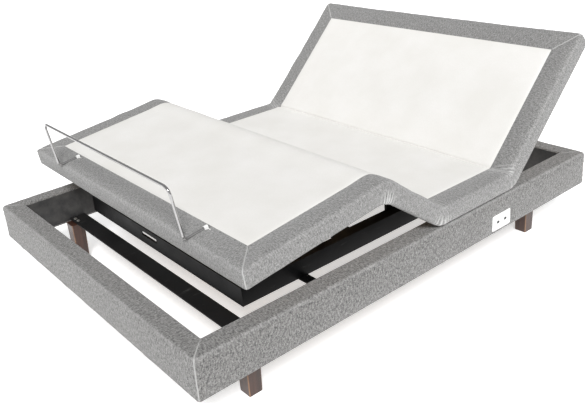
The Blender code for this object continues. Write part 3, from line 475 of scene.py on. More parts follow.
RAIL_SECTION = rounded_line([(RAIL_PAD, RAIL_TOP, INNER_ROUND), (0, RAIL_TOP, ROUND_TOP),
    (0, RAIL_LOW, ROUND_LOW), (RAIL_PAD, RAIL_LOW, INNER_ROUND), (RAIL_PAD, RAIL_LOW + RAIL_LIP, 0.0),
    (RAIL_PAD - BOARD_T, RAIL_LOW + RAIL_LIP, 0.0), (RAIL_PAD - BOARD_T, RAIL_TOP - RAIL_LIP, 0.0),
    (RAIL_PAD, RAIL_TOP - RAIL_LIP, 0.0)], 0.0075)


def run(section):
    """How far round a section each of its points is, with the closing step at the end."""
    looped = np.vstack([section, section[:1]])
    return np.concatenate([[0], np.cumsum(np.linalg.norm(np.diff(looped, axis=0), axis=1))])


def cloth_uv(along, around):
    """Each point's place on its cloth, in metres along and round, with the closing column."""
    looped = np.hstack([along, along[:, :1]])
    return np.stack([looped, np.broadcast_to(around, looped.shape)], -1)


OUT_LOW, OUT_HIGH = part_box("power_outlet")


def padded_rail(name, half_along, half_across, turn_to, node):
    """One rail: the section (inset d, height z) carried along its side of the box.
    Its ends follow a quarter-corner arc whose radius shrinks with the inset, and
    stop at the 45 degree plane where the next rail begins. Rows crowd to the ends."""
    d, z = RAIL_SECTION[:, 0], RAIL_SECTION[:, 1]
    r = INNER_ROUND + (CORNER - INNER_ROUND) * unit(1 - d / RAIL_PAD) ** 2
    bend = np.radians(45 * (1 - np.linspace(1, 0, 12) ** 2))[1:, None]
    reach = half_along - d - r
    share = np.linspace(-1, 1, int(half_along * 2 / RAIL_STEP))[:, None]
    straight = np.sign(share) * (1 - (1 - np.abs(share)) ** 1.25)
    a_mid, b_mid = straight * reach, np.broadcast_to(half_across - d, (len(straight), len(d)))
    a_end = reach + r * np.sin(bend)
    b_end = half_across - d - r + r * np.cos(bend)
    a = np.vstack([-a_end[::-1], a_mid, a_end])
    b = np.vstack([b_end[::-1], b_mid, b_end])
    flat = np.stack([b, a, np.broadcast_to(z, a.shape)], -1)
    around = run(RAIL_SECTION)
    length = np.sign(a) * (np.abs(a) + (half_across - d - b))
    # foam under taut cloth: a slight crown, low waves, small pinches at the sewn
    # corners, and the seam itself, a narrow raised line with a dip on both sides
    face = unit((RAIL_PAD - 0.004 - d) / 0.02) * (z > RAIL_LOW + 0.004)
    to_seam = np.abs((half_across - b) - (half_along - np.abs(a))) / np.sqrt(2)
    girth = np.broadcast_to(around[:-1], a.shape)
    long_wave, short_wave = waves(length, girth, 0.19, 3), waves(length, girth * 0.5, 0.06, 4)
    ripple = (0.0010 * long_wave + 0.0005 * short_wave) * face
    pinch = 0.0008 * np.sin(2 * pi * around[:-1] / 0.023 + 1.3) * np.exp(-to_seam / 0.020) * face
    seam = 0.0014 * bell(to_seam, 0.0016) - 0.0012 * bell(to_seam - 0.0055, 0.0035)
    top_edge = bell(around[:-1] - around[np.argmax(z - d)], 0.0045)
    crown = 0.0014 * unit(to_seam / 0.08)
    on_top = unit((z - (RAIL_TOP - 0.012)) / 0.012)
    height = (ripple + pinch + (seam + crown + 0.0008 * top_edge) * face) * (1 - 0.6 * on_top)
    # painted highlight: the sewn seam and the top outer edge of the cloth are painted paler, as light
    # catching them
    wear_and_highlight = (0.9 * bell(to_seam, 0.0022) + (0.30 + 0.12 * waves(length, girth, 0.09, 8))
        * top_edge) * face
    if node == "rail_cover_right":
        # the cloth dips under the outlet plate and rises in a soft rim round it
        middle, half = (OUT_LOW + OUT_HIGH) / 2, (OUT_HIGH - OUT_LOW) / 2
        off = np.hypot(np.maximum(np.abs(a - middle.y) - half.y, 0),
            np.maximum(np.abs(z - middle.z) - half.z, 0))
        near_plate = unit(1 - off / 0.03) ** 2 * (d < 0.02)
        height = height * (1 - near_plate) - 0.0022 * unit(1 - off / 0.012) * (d < 0.02)
    c, s = cos(turn_to), sin(turn_to)
    loose = face * (1 - on_top) * unit(to_seam / 0.03)
    flat = settled(swollen(flat, height), 1 - loose, RAIL_SWELL)
    grid = np.stack([flat[..., 0] * c - flat[..., 1] * s, flat[..., 0] * s + flat[..., 1] * c,
        flat[..., 2]], -1)
    uv = cloth_uv(length + 3.0 * turn_to, around)
    rail = sheet_of(name, grid, uv, wear_and_highlight)
    rail.data.materials.append(rail_cloth)
    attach(rail, "base")
    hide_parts(node)


padded_rail("rail_wrap_right", HALF_L, HALF_W, 0.0, "rail_cover_right")
padded_rail("rail_wrap_head", HALF_W, HALF_L, pi / 2, "rail_cover_head")
padded_rail("rail_wrap_left", HALF_L, HALF_W, pi, "rail_cover_left")
padded_rail("rail_wrap_foot", HALF_W, HALF_L, -pi / 2, "rail_cover_foot")

# ---------------------------------------------------------------- power outlet
# A white moulded plate let into the right rail near the head end, with two
# small sockets: each a recessed bezel round a dark slot with two contacts.
# Each slot is a shallow near-black slab painted dark as the shade down its opening.
moulded, tree, shader, place = finish_of("white_plastic", Roughness=0.32, Coat_Weight=0.15)
bumpy = noise(place, 900.0, 2.0)
feed(shader, Base_Color=mixed(ramp(noise(place, 30.0), 0.3, 0.7), (0.80, 0.80, 0.79),
    (0.88, 0.88, 0.87)))
relief(shader, bumpy, 0.0001, 0.3)
# near-black: painted shade on the shallow wells, which stand for the depth of each opening; the colour
# of the tongues on them
dark, tree, shader, place = finish_of("socket_well", Roughness=0.5)
feed(shader, Base_Color=mixed(noise(place, 200.0), (0.008, 0.008, 0.009), (0.022, 0.022, 0.022)))
OUT_MIDDLE, OUT_HALF = (OUT_LOW + OUT_HIGH) / 2, (OUT_HIGH - OUT_LOW) / 2


def stacked(name, rings, material, body):
    """A closed shape whose rows are the given outlines, one above another."""
    grid = np.stack(rings)
    uv = np.zeros((grid.shape[0], grid.shape[1] + 1, 2))
    uv[..., 0] = np.arange(grid.shape[0])[:, None] * 0.001
    uv[..., 1] = np.arange(grid.shape[1] + 1) * 0.001
    made = sheet_of(name, grid, uv)
    made.data.materials.append(material)
    made.data.set_sharp_from_angle(angle=radians(38))
    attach(made, body)
    return made


OUTLINE = 48    # points round each layer of the outlet


def pillow_outline(half_a, half_b, power):
    """Points of the closed curve |a / half_a| ** n + |b / half_b| ** n = 1, a
    rectangle whose corners are rounder the smaller n is; power is 2 / n."""
    theta = np.linspace(0, 2 * pi, OUTLINE, endpoint=False)
    return np.stack([half_a * np.sign(np.cos(theta)) * np.abs(np.cos(theta)) ** power,
        half_b * np.sign(np.sin(theta)) * np.abs(np.sin(theta)) ** power], -1)


def outlet_layer(name, along, rows, power, material):
    """Outlines (half length, half height, how far out) stacked outwards from the rail."""
    rings = []
    for half_a, half_b, out in rows:
        shape = pillow_outline(half_a, half_b, power)
        rings.append(np.stack([np.full(OUTLINE, OUT_HIGH.x + out), OUT_MIDDLE.y + along + shape[:, 0],
            OUT_MIDDLE.z + shape[:, 1]], -1))
    return stacked(name, rings, material, "base")


# the plate's face steps in as it comes out of the rail: (inset, how far out)
PLATE_STEPS = ((0, -0.004), (0, 0.0008), (0.0005, 0.0018), (0.0016, 0.0025), (0.004, 0.0028),
    (0.012, 0.0028))
plate_rows = [(OUT_HALF.y - inset, OUT_HALF.z - inset, out) for inset, out in PLATE_STEPS]
plate = outlet_layer("outlet_plate", 0.0, plate_rows, 0.16, moulded)
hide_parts("power_outlet")
SOCKET_OFF = 0.023    # each socket's middle from the plate's middle
for k, along in enumerate((-SOCKET_OFF, SOCKET_OFF)):
    outlet_layer(f"outlet_bezel_{k}", along, [(0.0150, 0.0115, 0.0026), (0.0150, 0.0115, 0.0032),
        (0.0142, 0.0107, 0.0036), (0.0086, 0.0056, 0.0036), (0.0081, 0.0051, 0.0028)], 0.3, moulded)
    # painted shade: a shallow dark well in place of the deep opening
    outlet_layer(f"outlet_well_{k}", along, [(0.0084, 0.0054, 0.0026), (0.0084, 0.0054, 0.0030),
        (0.0078, 0.0048, 0.0032)], 0.35, dark)
    outlet_layer(f"outlet_tongue_{k}", along, [(0.0058, 0.0011, 0.0031), (0.0058, 0.0011, 0.0034),
        (0.0055, 0.0008, 0.0035)], 0.2, dark)
outlet_layer("outlet_screw", 0.0, [(0.0030, 0.0030, 0.0026), (0.0030, 0.0030, 0.0033),
    (0.0024, 0.0024, 0.0038), (0.0010, 0.0010, 0.0039)], 1.0, moulded)

# ----------------------------------------------------------- fixed steel frame
# Folded channels welded into a rectangle and hung inside the box from angle
# brackets. Satin black powder coat, with fine orange peel, dust and scuffs.
coat, given, out = shader_group("powder_coat", {"Place": ("Vector", None),
    "Tone": ("Color", (0.012, 0.012, 0.013, 1)), "Wear": ("Float", 0.5)},
    {"Colour": ("Color", None), "Roughness": ("Float", None), "Height": ("Float", None)})
peel = noise(given["Place"], 650.0, 2.0, 0.5)
dust = noise(given["Place"], 9.0, 6.0, 0.62)
scuff = noise(given["Place"], 70.0, 5.0, 0.7, (1.0, 0.16, 1.0), (0.3, 0.2, 0.5))
marks = times(ramp(scuff, 0.62, 0.74), given["Wear"])
toned = mixed(ramp(dust, 0.42, 0.8, 0.0, 0.35), given["Tone"], (0.026, 0.026, 0.026))
put(out["Colour"], mixed(marks, toned, (0.075, 0.075, 0.074)))
put(out["Roughness"], plus(ramp(dust, 0.3, 0.8, 0.33, 0.56), times(marks, 0.15)))
put(out["Height"], less(peel, times(marks, 0.4)))


def coated(name, tone, wear):
    """Powder-coated steel in that tone."""
    made, tree, shader, place = finish_of(name, Metallic=0.0, Specular_IOR_Level=0.14)
    spot = use(tree, "powder_coat", Place=place, Tone=(*tone, 1), Wear=wear)
    feed(shader, Base_Color=spot["Colour"])
    feed(shader, Roughness=spot["Roughness"])
    relief(shader, spot["Height"], 0.00025, 0.35)
    return made


frame_black = coated("frame_black", (0.004, 0.004, 0.0045), 0.35)
dress(frame_black, *(n for n in nodes if n.startswith(("frame_", "hanger_"))))
dress(coated("crossbar_black", (0.013, 0.013, 0.0135), 1.0), "leg_crossbar_head", "leg_crossbar_foot")

# Zinc-plated bolts: those that hold the legs to the crossbars, and those that
# hold the frame to its hangers.
zinc, tree, shader, place = finish_of("zinc_plate", Metallic=0.9, Roughness=0.35)
patch = noise(place, 320.0, 4.0, 0.6)
feed(shader, Base_Color=mixed(patch, (0.42, 0.42, 0.40), (0.66, 0.66, 0.64)))
feed(shader, Roughness=ramp(patch, 0.3, 0.7, 0.25, 0.45))


def fasteners(name, places, up, material, body, size=0.006, washer=True):
    """Hexagon bolt heads on round washers, one at each place, along the axis `up`.
    A head is a turned profile whose radius is size / cos(angle from the nearest flat)."""
    cols = 24
    theta = np.linspace(0, 2 * pi, cols, endpoint=False)
    hexagon = size / np.cos((theta + pi / 6) % (pi / 3) - pi / 6)
    rows = [(1.45 * size, 0.0), (1.45 * size, 0.0012), (1.35 * size, 0.0015)] if washer else []
    rings = [np.stack([r * np.cos(theta), r * np.sin(theta), np.full(cols, z)], -1) for r, z in rows]
    top = 0.0015 if washer else 0.0
    for share, z in ((1.0, top), (1.0, top + size * 0.55), (0.88, top + size * 0.68),
            (0.35, top + size * 0.70)):
        rings.append(np.stack([hexagon * share * np.cos(theta), hexagon * share * np.sin(theta),
            np.full(cols, z)], -1))
    axis = Vector(up).to_track_quat("Z", "Y").to_matrix()
    one = np.vstack(rings) @ np.array(axis).T
    quads = tube_faces(len(rings), cols)[..., [0, 3, 2, 1]].reshape(-1, 4)
    caps = [list(range(cols))[::-1], list(range(len(one) - cols, len(one)))]
    points = np.vstack([one + np.array(p) for p in places])
    faces = []
    for k in range(len(places)):
        shift = k * len(one)
        faces += (quads + shift).tolist() + [[v + shift for v in cap] for cap in caps]
    mesh = bpy.data.meshes.new(name)
    mesh.from_pydata(points.tolist(), [], faces)
    mesh.materials.append(material)
    mesh.polygons.foreach_set("use_smooth", np.ones(len(faces), bool))
    mesh.set_sharp_from_angle(angle=radians(25))
    made = bpy.data.objects.new(name, mesh)
    scene.collection.objects.link(made)
    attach(made, body)


for end, sign in (("head", 1), ("foot", -1)):
    low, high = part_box(f"leg_crossbar_{end}")
    leg = [(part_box(f"leg_{end}_{side}")[0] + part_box(f"leg_{end}_{side}")[1]) / 2
        for side in ("left", "right")]
    inner_y = sign * (abs(high.y if sign > 0 else low.y) - 0.016)
    fasteners(f"leg_bolts_{end}", [(m.x + dx, inner_y, high.z) for m in leg for dx in (-0.014, 0.014)],
        (0, 0, 1), zinc, "base", 0.0055)
for name in ("hanger_head_left", "hanger_head_right", "hanger_foot_left", "hanger_foot_right"):
    low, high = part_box(name)
    wall, inward = (low.x, 1) if low.x < 0 else (high.x, -1)
    fasteners(name + "_screws", [(wall + inward * 0.004, (low.y + high.y) / 2 + dy, high.z - 0.014)
        for dy in (-0.012, 0.012)], (inward, 0, 0), zinc, "base", 0.0045)

# -------------------------------------------------------------------- carriage
# Two box-section bars on four rollers, tied by cross tubes that also carry the
# actuators' rear forks, with the section plates, ribs, levers and foot links.
carriage_black = coated("carriage_black", (0.005, 0.005, 0.0055), 0.6)
dress(carriage_black, *(n for n in nodes if n.startswith(("carriage_bar", "seat_rib", "actuator_mount",
    "back_plate", "thigh_plate", "foot_plate", "foot_link", "back_lever", "thigh_lever"))))

tread, tree, shader, place = finish_of("roller_nylon", Roughness=0.55)
feed(shader, Base_Color=mixed(noise(place, 60.0, 4.0), (0.015, 0.015, 0.016), (0.05, 0.05, 0.048)))
relief(shader, noise(place, 500.0, 2.0), 0.0002, 0.4)
dress(tread, *(n for n in nodes if n.startswith("roller_")))

# ------------------------------------------------------------------- actuators
# Two linear actuators under the seat: a ribbed black motor and gearbox housing
# on a fork pin, and a ground steel rod whose eye pulls the section's lever.
housing, tree, shader, place = finish_of("housing_plastic", Roughness=0.48)
fine = add(tree, "TexVoronoi", Vector=place, Scale=900.0).outputs["Distance"]
feed(shader, Base_Color=mixed(noise(place, 14.0, 5.0), (0.014, 0.014, 0.015), (0.034, 0.034, 0.035)))
feed(shader, Roughness=ramp(noise(place, 22.0, 4.0), 0.3, 0.7, 0.40, 0.58))
relief(shader, fine, 0.0002, 0.35)
dress(housing, "back_actuator", "leg_actuator")
ground, tree, shader, place = finish_of("ground_rod", Metallic=1.0, Roughness=0.25)
rings = noise(place, 380.0, 3.0, 0.6, (1.0, 6.0, 1.0))
feed(shader, Base_Color=mixed(rings, (0.46, 0.46, 0.47), (0.68, 0.68, 0.68)))
feed(shader, Roughness=ramp(rings, 0.3, 0.7, 0.18, 0.34))
relief(shader, rings, 0.00008, 0.3)
dress(ground, "back_actuator_rod", "leg_actuator_rod")

# ----------------------------------------------------------------- deck boards
# One 15 mm plywood board in each section, its faces a pale rotary-cut veneer
# with long figure; only their undersides show, from below and behind.
ply, tree, shader, place = finish_of("plywood", Roughness=0.6)
figure = noise(place, 9.0, 5.0, 0.6, (0.12, 1.0, 1.0))
fibre = noise(place, 160.0, 4.0, 0.6, (0.04, 1.0, 1.0))
contour = calc("SINE", times(figure, 70.0))
toned = mixed(ramp(contour, -1.0, 1.0), (0.36, 0.235, 0.13), (0.50, 0.35, 0.21))
toned = mixed(ramp(fibre, 0.4, 0.75, 0.0, 0.5), toned, (0.22, 0.13, 0.07))
knots = add(tree, "TexVoronoi", Vector=add(tree, "Mapping", Vector=place,
    Scale=(2.2, 5.0, 5.0)).outputs[0], Scale=1.0)
feed(shader, Base_Color=mixed(ramp(knots.outputs["Distance"], 0.0, 0.06, 0.8, 0.0), toned,
    (0.10, 0.05, 0.03)))
feed(shader, Roughness=ramp(fibre, 0.3, 0.7, 0.5, 0.7))
relief(shader, fibre, 0.0005, 0.4)
dress(ply, "back_board", "seat_board", "thigh_board", "foot_board")

# ------------------------------------------------------------- deck upholstery
# One continuous padded border runs round the deck and over its three hinges:
# heather cloth over foam, mitred and sewn at the outer corners, turned under
# the edge, stretched over the knee and gathered where the deck folds up.
FOOT_L, THIGH_L, SEAT_L, BACK_L = 0.620, 0.341, 0.414, 0.671    # hinge to hinge, hinge to edge
TOP, UNDER, SLAB = 0.018, 0.054, 0.0113                         # heights from the hinge line
BORDER, SKIRT, HALF_DECK, DECK_SWELL = 0.096, 0.045, HALF_W, 0.003
CREST, CREST_REACH = 0.0112, 0.046                              # foam bunched over the knee
MID_THIGH, MID_SEAT = -THIGH_L / 2, SEAT_L / 2                  # where one piece meets the next
FOOT_TURN, THIGH_TURN, BACK_TURN = radians(7.0), radians(-36.1), radians(44.9)
HINGES = [(-THIGH_L, np.array(joint["knee_hinge"]["pos_m"][1:]), 0.070, FOOT_TURN, THIGH_TURN),
    (0.0, np.array(joint["thigh_hinge"]["pos_m"][1:]), 0.012, THIGH_TURN, 0.0),
    (SEAT_L, np.array(joint["back_hinge"]["pos_m"][1:]), 0.014, 0.0, BACK_TURN)]


def bent(flat):
    """Where a point of the deck laid flat lies in this pose. The line at hinge
    height is straight in each section and an arc at each hinge, tangent to both
    sides; a point keeps its height from that line, measured square to it."""
    y, h = flat[..., 1], flat[..., 2]
    crest = CREST * bell(y + THIGH_L, CREST_REACH)
    h = h + crest * unit((h + UNDER) / (TOP + UNDER))

    def heading(a):
        return np.stack([np.cos(a), np.sin(a)], -1)

    def square(a):
        return np.stack([-np.sin(a), np.cos(a)], -1)

    angle = np.full(y.shape, FOOT_TURN)
    at = HINGES[0][1] + (y - HINGES[0][0])[..., None] * heading(angle)
    for here, pin, reach, before, after in HINGES:
        past = y > here
        angle = np.where(past, after, angle)
        beyond = pin + (y - here)[..., None] * heading(np.full(y.shape, after))
        at = np.where(past[..., None], beyond, at)
        curved = np.abs(y - here) < reach
        phi = (after - before) * (y - here + reach) / (2 * reach)
        radius = reach / np.tan((after - before) / 2)
        side, rise = heading(np.array(before)), square(np.array(before))
        arc = pin - reach * side + radius * (np.sin(phi)[..., None] * side
            + (1 - np.cos(phi))[..., None] * rise)
        angle = np.where(curved, before + phi, angle)
        at = np.where(curved[..., None], arc, at)
    at = at + h[..., None] * square(angle)
    return np.stack([flat[..., 0], at[..., 0], at[..., 1]], -1)


def stations(start, end, coarse=0.012, fine=0.0026, reach=0.060):
    """Places from start to end, close together near a hinge line and wider elsewhere."""
    at, here = [], start
    while here < end - 1e-9:
        at.append(here)
        near = min(abs(here - hinge[0]) for hinge in HINGES)
        here += fine if near < reach else coarse
    return np.array(at + [end])


def gathers(y, h, d):
    """How far the cloth stands out in the small folds at the hinges: a row of
    rounded pleats under a bell curve, on the side that the bend squeezes."""
    total = np.zeros_like(y)
    for (here, *_), above, below, pitch, lean, spread in zip(HINGES, (0.0, 0.0030, 0.0062),
            (0.0110, 0.0085, 0.0040), (0.0165, 0.0140, 0.0155), (0.0, 0.15, 0.45),
            (0.032, 0.030, 0.034)):
        away = y - here + lean * (d - 0.03)
        pleat = np.abs(np.sin(pi * away / pitch + 0.5 * np.sin(away * 70.0))) ** 0.7 - 0.6
        folded = above * unit((h + 0.004) / 0.02) + below * unit((-h - 0.004) / 0.04)
        total += pleat * bell(away, spread) * folded
    return total


deck_cloth = heather("deck_heather", (0.112, 0.111, 0.111), (0.445, 0.441, 0.433), 1.15, 720.0, 200.0)
EDGE = rounded_line([(BORDER, TOP - 0.0008, 0.0008), (0, TOP, 0.013), (0, -UNDER, 0.011),
    (SKIRT, -UNDER, 0.003), (SKIRT, SLAB, 0.0), (BORDER, SLAB, 0.0)], 0.0065)
d, h = EDGE[:, 0], EDGE[:, 1]
AROUND = run(EDGE)


def border_height(flat, to_seam):
    """The padding's swell: a crown on top, a slight belly on the side, long low
    waves, the gathers at the hinges, and the sewn groove at a mitred corner."""
    x, y, z = flat[..., 0], flat[..., 1], flat[..., 2]
    top = (z > TOP - 0.004) * np.sin(pi * unit((d - 0.004) / (BORDER - 0.004))) * 0.0022
    belly = (d < 0.002) * np.sin(pi * unit((z + UNDER) / (UNDER + TOP))) * 0.0018
    girth = np.broadcast_to(AROUND[:-1], y.shape)
    low_wave = 0.0009 * waves(y + np.abs(x) * 0.4, girth, 0.14, 12)
    low_wave = low_wave + 0.0004 * waves(y + x, girth * 0.6, 0.045, 15)
    seam = 0.0013 * bell(to_seam, 0.0015) - 0.0012 * bell(to_seam - 0.005, 0.0032)
    pinch = 0.0008 * np.sin(2 * pi * AROUND[:-1] / 0.019) * np.exp(-to_seam / 0.016)
    inner_wall = (np.abs(d - SKIRT) < 1e-4) & (h < SLAB + 1e-4)
    under_lip = (np.abs(h - SLAB) < 1e-5) & (d > SKIRT)
    visible = (d < BORDER - 0.001) * (h > -UNDER - 0.001) * ~inner_wall * ~under_lip
    hold = unit(to_seam / 0.05)
    folds = gathers(y, z, np.broadcast_to(d, y.shape))
    top_edge = bell(AROUND[:-1] - AROUND[np.argmax(h - d)], 0.005)
    # painted highlight: the seam, the top outer edge and the crests of the gathers are painted paler,
    # as light catching them
    wear_and_highlight = 0.9 * bell(to_seam, 0.002) + 0.16 * top_edge + 1.1 * unit(folds / 0.0030)
    near_rail = unit((h + UNDER) / 0.014)     # the lower edge keeps clear of the rail tops
    height = ((top + belly + low_wave) * hold + seam + pinch + folds) * near_rail
    return visible * height, visible * wear_and_highlight


def border(name, flat, uv, to_seam, hinge, covers):
    """Folds a flat run of border into the pose and pads it."""
    height, wear_and_highlight = border_height(flat, to_seam)
    middle = np.minimum(np.abs(flat[..., 1] - MID_THIGH), np.abs(flat[..., 1] - MID_SEAT))
    loose = (d < BORDER - 0.012) * (h > -UNDER + 0.01) * (h > SLAB - 0.02)
    loose = loose * unit(to_seam / 0.03) * unit(middle / 0.04)
    grid = settled(swollen(bent(flat), height), 1 - loose, DECK_SWELL)
    piece = sheet_of(name, grid, uv, wear_and_highlight)
    piece.data.materials.append(deck_cloth)
    cross_hinge(piece, hinge)
    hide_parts(*covers)


def cross_hinge(piece, hinge):
    """Bakes the piece's placement into its mesh; the places just beyond the bend at that hinge are
    worked out but not used.
    """
    here, _, reach, _, _ = HINGES[hinge]
    ends = bent(np.array([[0.0, here - reach - 0.008, 0.0], [0.0, here + reach + 0.008, 0.0]]))
    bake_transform(piece)


def end_border(name, sign, start, end, corner, hinge, covers):
    """The U of border round the head or foot end: the section carried up one side,
    round two corners whose radius shrinks with the inset, and back down the other."""
    r = 0.002 + (corner - 0.002) * unit(1 - d / 0.05) ** 2
    lead = end - BORDER - 0.012    # where the rows start to gather for the corner
    places = stations(start, lead) if sign > 0 else -stations(-lead, -start)[::-1]
    side_t = np.broadcast_to(places[:, None], (len(places), len(d)))
    lead_t = places[-1] + (end - d - r - places[-1]) * (1 - np.linspace(1, 0, 16) ** 1.7)[1:, None]
    half_turn = np.linspace(-1, 1, 19)
    arc = np.radians(45 + 45 * np.sign(half_turn) * np.abs(half_turn) ** 1.5)[1:, None]
    arc_t, arc_x = end - d - r + r * np.sin(arc), HALF_DECK - d - r + r * np.cos(arc)
    share = np.linspace(1, -1, 140)[1:-1, None]
    across_x = (HALF_DECK - d - r) * np.sign(share) * (1 - (1 - np.abs(share)) ** 1.6)
    straight = np.broadcast_to(HALF_DECK - d, side_t.shape)
    lead_x = np.broadcast_to(HALF_DECK - d, lead_t.shape)
    half_t, half_x = np.vstack([side_t, lead_t, arc_t]), np.vstack([straight, lead_x, arc_x])
    arc_u = end - d - r + (arc / (pi / 2)) * 2 * (d + r)
    half_u = np.vstack([side_t, lead_t, arc_u])
    across_t = np.broadcast_to(end - d, across_x.shape)
    t = np.vstack([half_t, across_t, half_t[::-1]])
    x = np.vstack([half_x, across_x, -half_x[::-1]])
    u = np.vstack([half_u, end + HALF_DECK - across_x, 2 * end + 2 * HALF_DECK - half_u[::-1]])
    flat = np.stack([x, sign * t, np.broadcast_to(h, t.shape)], -1)
    uv = cloth_uv(u, AROUND)
    to_seam = np.abs((HALF_DECK - np.abs(x)) - (end - t)) / np.sqrt(2)
    border(name, flat, uv, to_seam, hinge, covers)


end_border("foot_border", -1, -MID_THIGH, THIGH_L + FOOT_L, 0.012, 0,
    ["foot_cover"])
end_border("back_border", 1, MID_SEAT, SEAT_L + BACK_L, 0.016, 2,
    ["back_cover"])
for side, s in (("right", 1), ("left", -1)):
    y = stations(MID_THIGH, MID_SEAT)[:, None] + 0 * d
    flat = np.stack([np.broadcast_to(s * (HALF_DECK - d), y.shape), y, np.broadcast_to(h, y.shape)], -1)
    uv = cloth_uv(y, AROUND)
    border(f"thigh_border_{side}", flat, uv, np.full(y.shape, 1.0), 1,
        ["thigh_cover", "seat_cover"])

# ---------------------------------------------------------------- deck panels
# The deck's middle is an off-white non-woven cloth bonded to thin foam, sewn
# into the border. It runs over all the hinges, creased softly where they fold.
felt, tree, shader, place = finish_of("cream_felt", Roughness=0.9, Sheen_Weight=0.15,
    Specular_IOR_Level=0.25)
spot = add(tree, "UVMap", uv_map="cloth").outputs[0]
mottle = noise(spot, 5.0, 4.0, 0.55)
fibres = noise(spot, 330.0, 4.0, 0.7, (1.0, 0.35, 1.0), (0, 0, 0.5))
bonded = add(tree, "TexVoronoi", Vector=spot, Scale=420.0).outputs["Distance"]
toned = mixed(ramp(mottle, 0.35, 0.7), (0.745, 0.733, 0.705), (0.80, 0.79, 0.772))
toned = mixed(ramp(fibres, 0.35, 0.7, 0.0, 0.35), toned, (0.68, 0.664, 0.630))
feed(shader, Base_Color=toned)
feed(shader, Roughness=ramp(fibres, 0.3, 0.7, 0.82, 0.96))
relief(shader, plus(times(fibres, 0.6), times(bonded, 0.5)), 0.0005, 0.5)


def panel(name, y0, y1, closed_low, closed_high, hinge, covers):
    """A slab between two flat places y0 and y1: its top sinks at the sewn edges,
    crowns a little between them, and dips at a hinge line where the deck folds up."""
    half = HALF_DECK - BORDER
    across = np.concatenate([np.linspace(-half, -half + 0.02, 6)[:-1],
        np.linspace(-half + 0.02, half - 0.02, 84), np.linspace(half - 0.02, half, 6)[1:]])
    y = stations(y0, y1)
    lower_x = np.linspace(half, -half, 24)
    x_all = np.concatenate([across, lower_x])
    x = np.broadcast_to(x_all, (len(y), len(x_all)))
    yy = np.broadcast_to(y[:, None], x.shape)
    on_top = np.arange(len(x_all)) < len(across)
    to_edge = half - np.abs(x)
    if closed_low:
        to_edge = np.minimum(to_edge, yy - y0)
    if closed_high:
        to_edge = np.minimum(to_edge, y1 - yy)
    lift = TOP - 0.0018 + 0.0028 * (1 - np.exp(-to_edge / 0.007))
    lift = lift + 0.0006 * waves(x, yy, 0.34, 21) * unit(to_edge / 0.05)
    for (here, *_), dip, width in zip(HINGES, (0.0, 0.0024, 0.0052), (0.011, 0.012, 0.008)):
        wander = 0.004 * np.sin(x * 9.0 + here * 20.0)
        lift = lift - dip * bell(yy - here + wander, width)
        lift = lift + 0.35 * dip * bell(np.abs(yy - here + wander) - 0.026, 0.011)
    flat = np.stack([x, yy, np.where(on_top, lift, SLAB)], -1)
    u = np.concatenate([across, lower_x, across[:1]])
    size = (len(y), len(u))
    uv = np.stack([np.broadcast_to(u, size), np.broadcast_to(y[:, None], size)], -1)
    piece = sheet_of(name, bent(flat), uv)
    piece.data.materials.append(felt)
    cross_hinge(piece, hinge)
    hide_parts(*covers)


panel("foot_felt", -THIGH_L - FOOT_L + BORDER, MID_THIGH, True, False,
    0, ["foot_panel"])
panel("thigh_felt", MID_THIGH, MID_SEAT, False, False, 1,
    ["thigh_panel", "seat_panel"])
panel("back_felt", MID_SEAT, SEAT_L + BACK_L - BORDER, False, True, 2,
    ["back_panel"])

# ------------------------------------------------------------ mattress retainer
# A chrome-plated steel rod bent into a low hoop across the foot end. Its two
# legs lie on the border, each in a white moulded saddle clip with two screws.
RETAINER_X, ROD, RUN_IN, RUN_OVER, HOOP, LEAN = 0.475, 0.005, 0.084, 0.011, 0.196, 0.006
chrome, tree, shader, place = finish_of("chrome", Metallic=1.0, Roughness=0.08)
smear = noise(place, 40.0, 5.0, 0.6)
feed(shader, Base_Color=mixed(smear, (0.36, 0.36, 0.37), (0.56, 0.55, 0.54)))
feed(shader, Roughness=ramp(smear, 0.35, 0.7, 0.05, 0.16))
edge_y, rod_h = -THIGH_L - FOOT_L, TOP + ROD + 0.0012
CLIP_Y = edge_y + RUN_IN - 0.012


def arc_line(points, radii):
    """A path through 3-D corner points with an arc of the given radius at each inner one."""
    arcs = [corner_arc(a, here, b, r, lambda sweep: 10)
        for a, here, b, r in zip(points[:-2], points[1:-1], points[2:], radii)]
    path = [points[0], *np.vstack(arcs), points[-1]]
    fine = []
    for a, b in zip(path[:-1], path[1:]):
        n = max(1, int(np.linalg.norm(b - a) / 0.02))
        fine += [a + (b - a) * k / n for k in range(n)]
    return np.array(fine + [path[-1]])


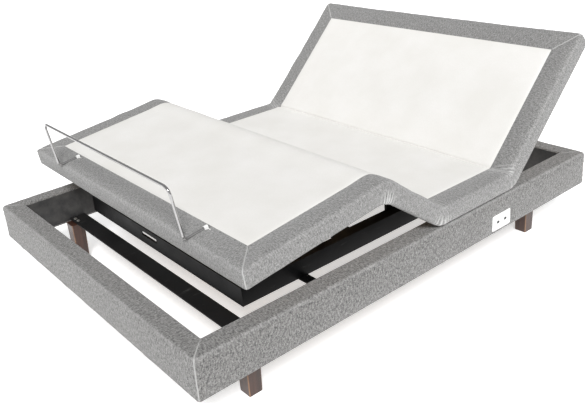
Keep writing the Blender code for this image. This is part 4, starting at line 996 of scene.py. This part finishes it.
def rod(name, path, radius, material, body, sides):
    """A round rod: a circle carried along the path on a frame that turns no more
    than the path does, closed with a small domed end."""
    tangent = np.gradient(path, axis=0)
    tangent /= np.linalg.norm(tangent, axis=1)[:, None]
    side = np.cross(tangent[0], (0.31, 0.77, 0.55))
    sides_at = []
    for t in tangent:
        side = side - t * (side @ t)
        side /= np.linalg.norm(side)
        sides_at.append(side)
    sides_at = np.array(sides_at)
    other = np.cross(tangent, sides_at)
    theta = np.linspace(0, 2 * pi, sides, endpoint=False)
    ring = (np.cos(theta)[None, :, None] * sides_at[:, None]
        + np.sin(theta)[None, :, None] * other[:, None])
    dome = [(0.35, 0.9), (0.75, 0.62), (0.95, 0.25)]
    rows = [path[0] - tangent[0] * radius * b + ring[0] * radius * a for a, b in dome]
    rows += list(path[:, None] + ring * radius)
    rows += [path[-1] + tangent[-1] * radius * b + ring[-1] * radius * a for a, b in dome[::-1]]
    return stacked(name, rows, material, body)


rest = [(RETAINER_X, edge_y + RUN_IN, rod_h), (RETAINER_X, edge_y - RUN_OVER, rod_h),
    (RETAINER_X, edge_y - RUN_OVER - LEAN, TOP + HOOP)]
rest += [(-x, y, z) for x, y, z in rest[::-1]]
corners = bent(np.array(rest))
hoop = rod("retainer_hoop", arc_line(list(corners), (0.014, 0.030, 0.030, 0.014)), ROD, chrome,
    "foot_section", 24)
hoop.data.set_sharp_from_angle(angle=radians(80))
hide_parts("retainer_bar")
for side, s in (("right", 1), ("left", -1)):
    # the saddle: a strap 14 mm wide whose section goes flat, up over the rod, and flat again
    reach = np.array([(-0.017, 0.0), (-0.0085, 0.0), (-0.0068, 0.0012)]
        + [(-0.0064 * cos(k), 0.0062 + 0.0062 * sin(k)) for k in np.linspace(0.0, pi, 13)]
        + [(0.0068, 0.0012), (0.0085, 0.0), (0.017, 0.0)])
    loop = np.vstack([reach, (reach + (0, 0.0014))[::-1]])
    rows = []
    for dy, shrink in ((-0.0075, 0.96), (-0.0068, 1.0), (0.0068, 1.0), (0.0075, 0.96)):
        flat = np.stack([s * RETAINER_X + loop[:, 0] * shrink, np.full(len(loop), CLIP_Y + dy),
            TOP + 0.0014 + loop[:, 1]], -1)
        rows.append(bent(flat))
    stacked(f"retainer_clip_{side}", rows, moulded, "foot_section")
    heads = bent(np.array([[s * RETAINER_X + dx, CLIP_Y, TOP + 0.0026] for dx in (-0.0125, 0.0125)]))
    up_dir = (0.0, -sin(FOOT_TURN), cos(FOOT_TURN))
    fasteners(f"retainer_screws_{side}", heads.tolist(), up_dir, chrome, "foot_section", 0.0026,
        washer=False)
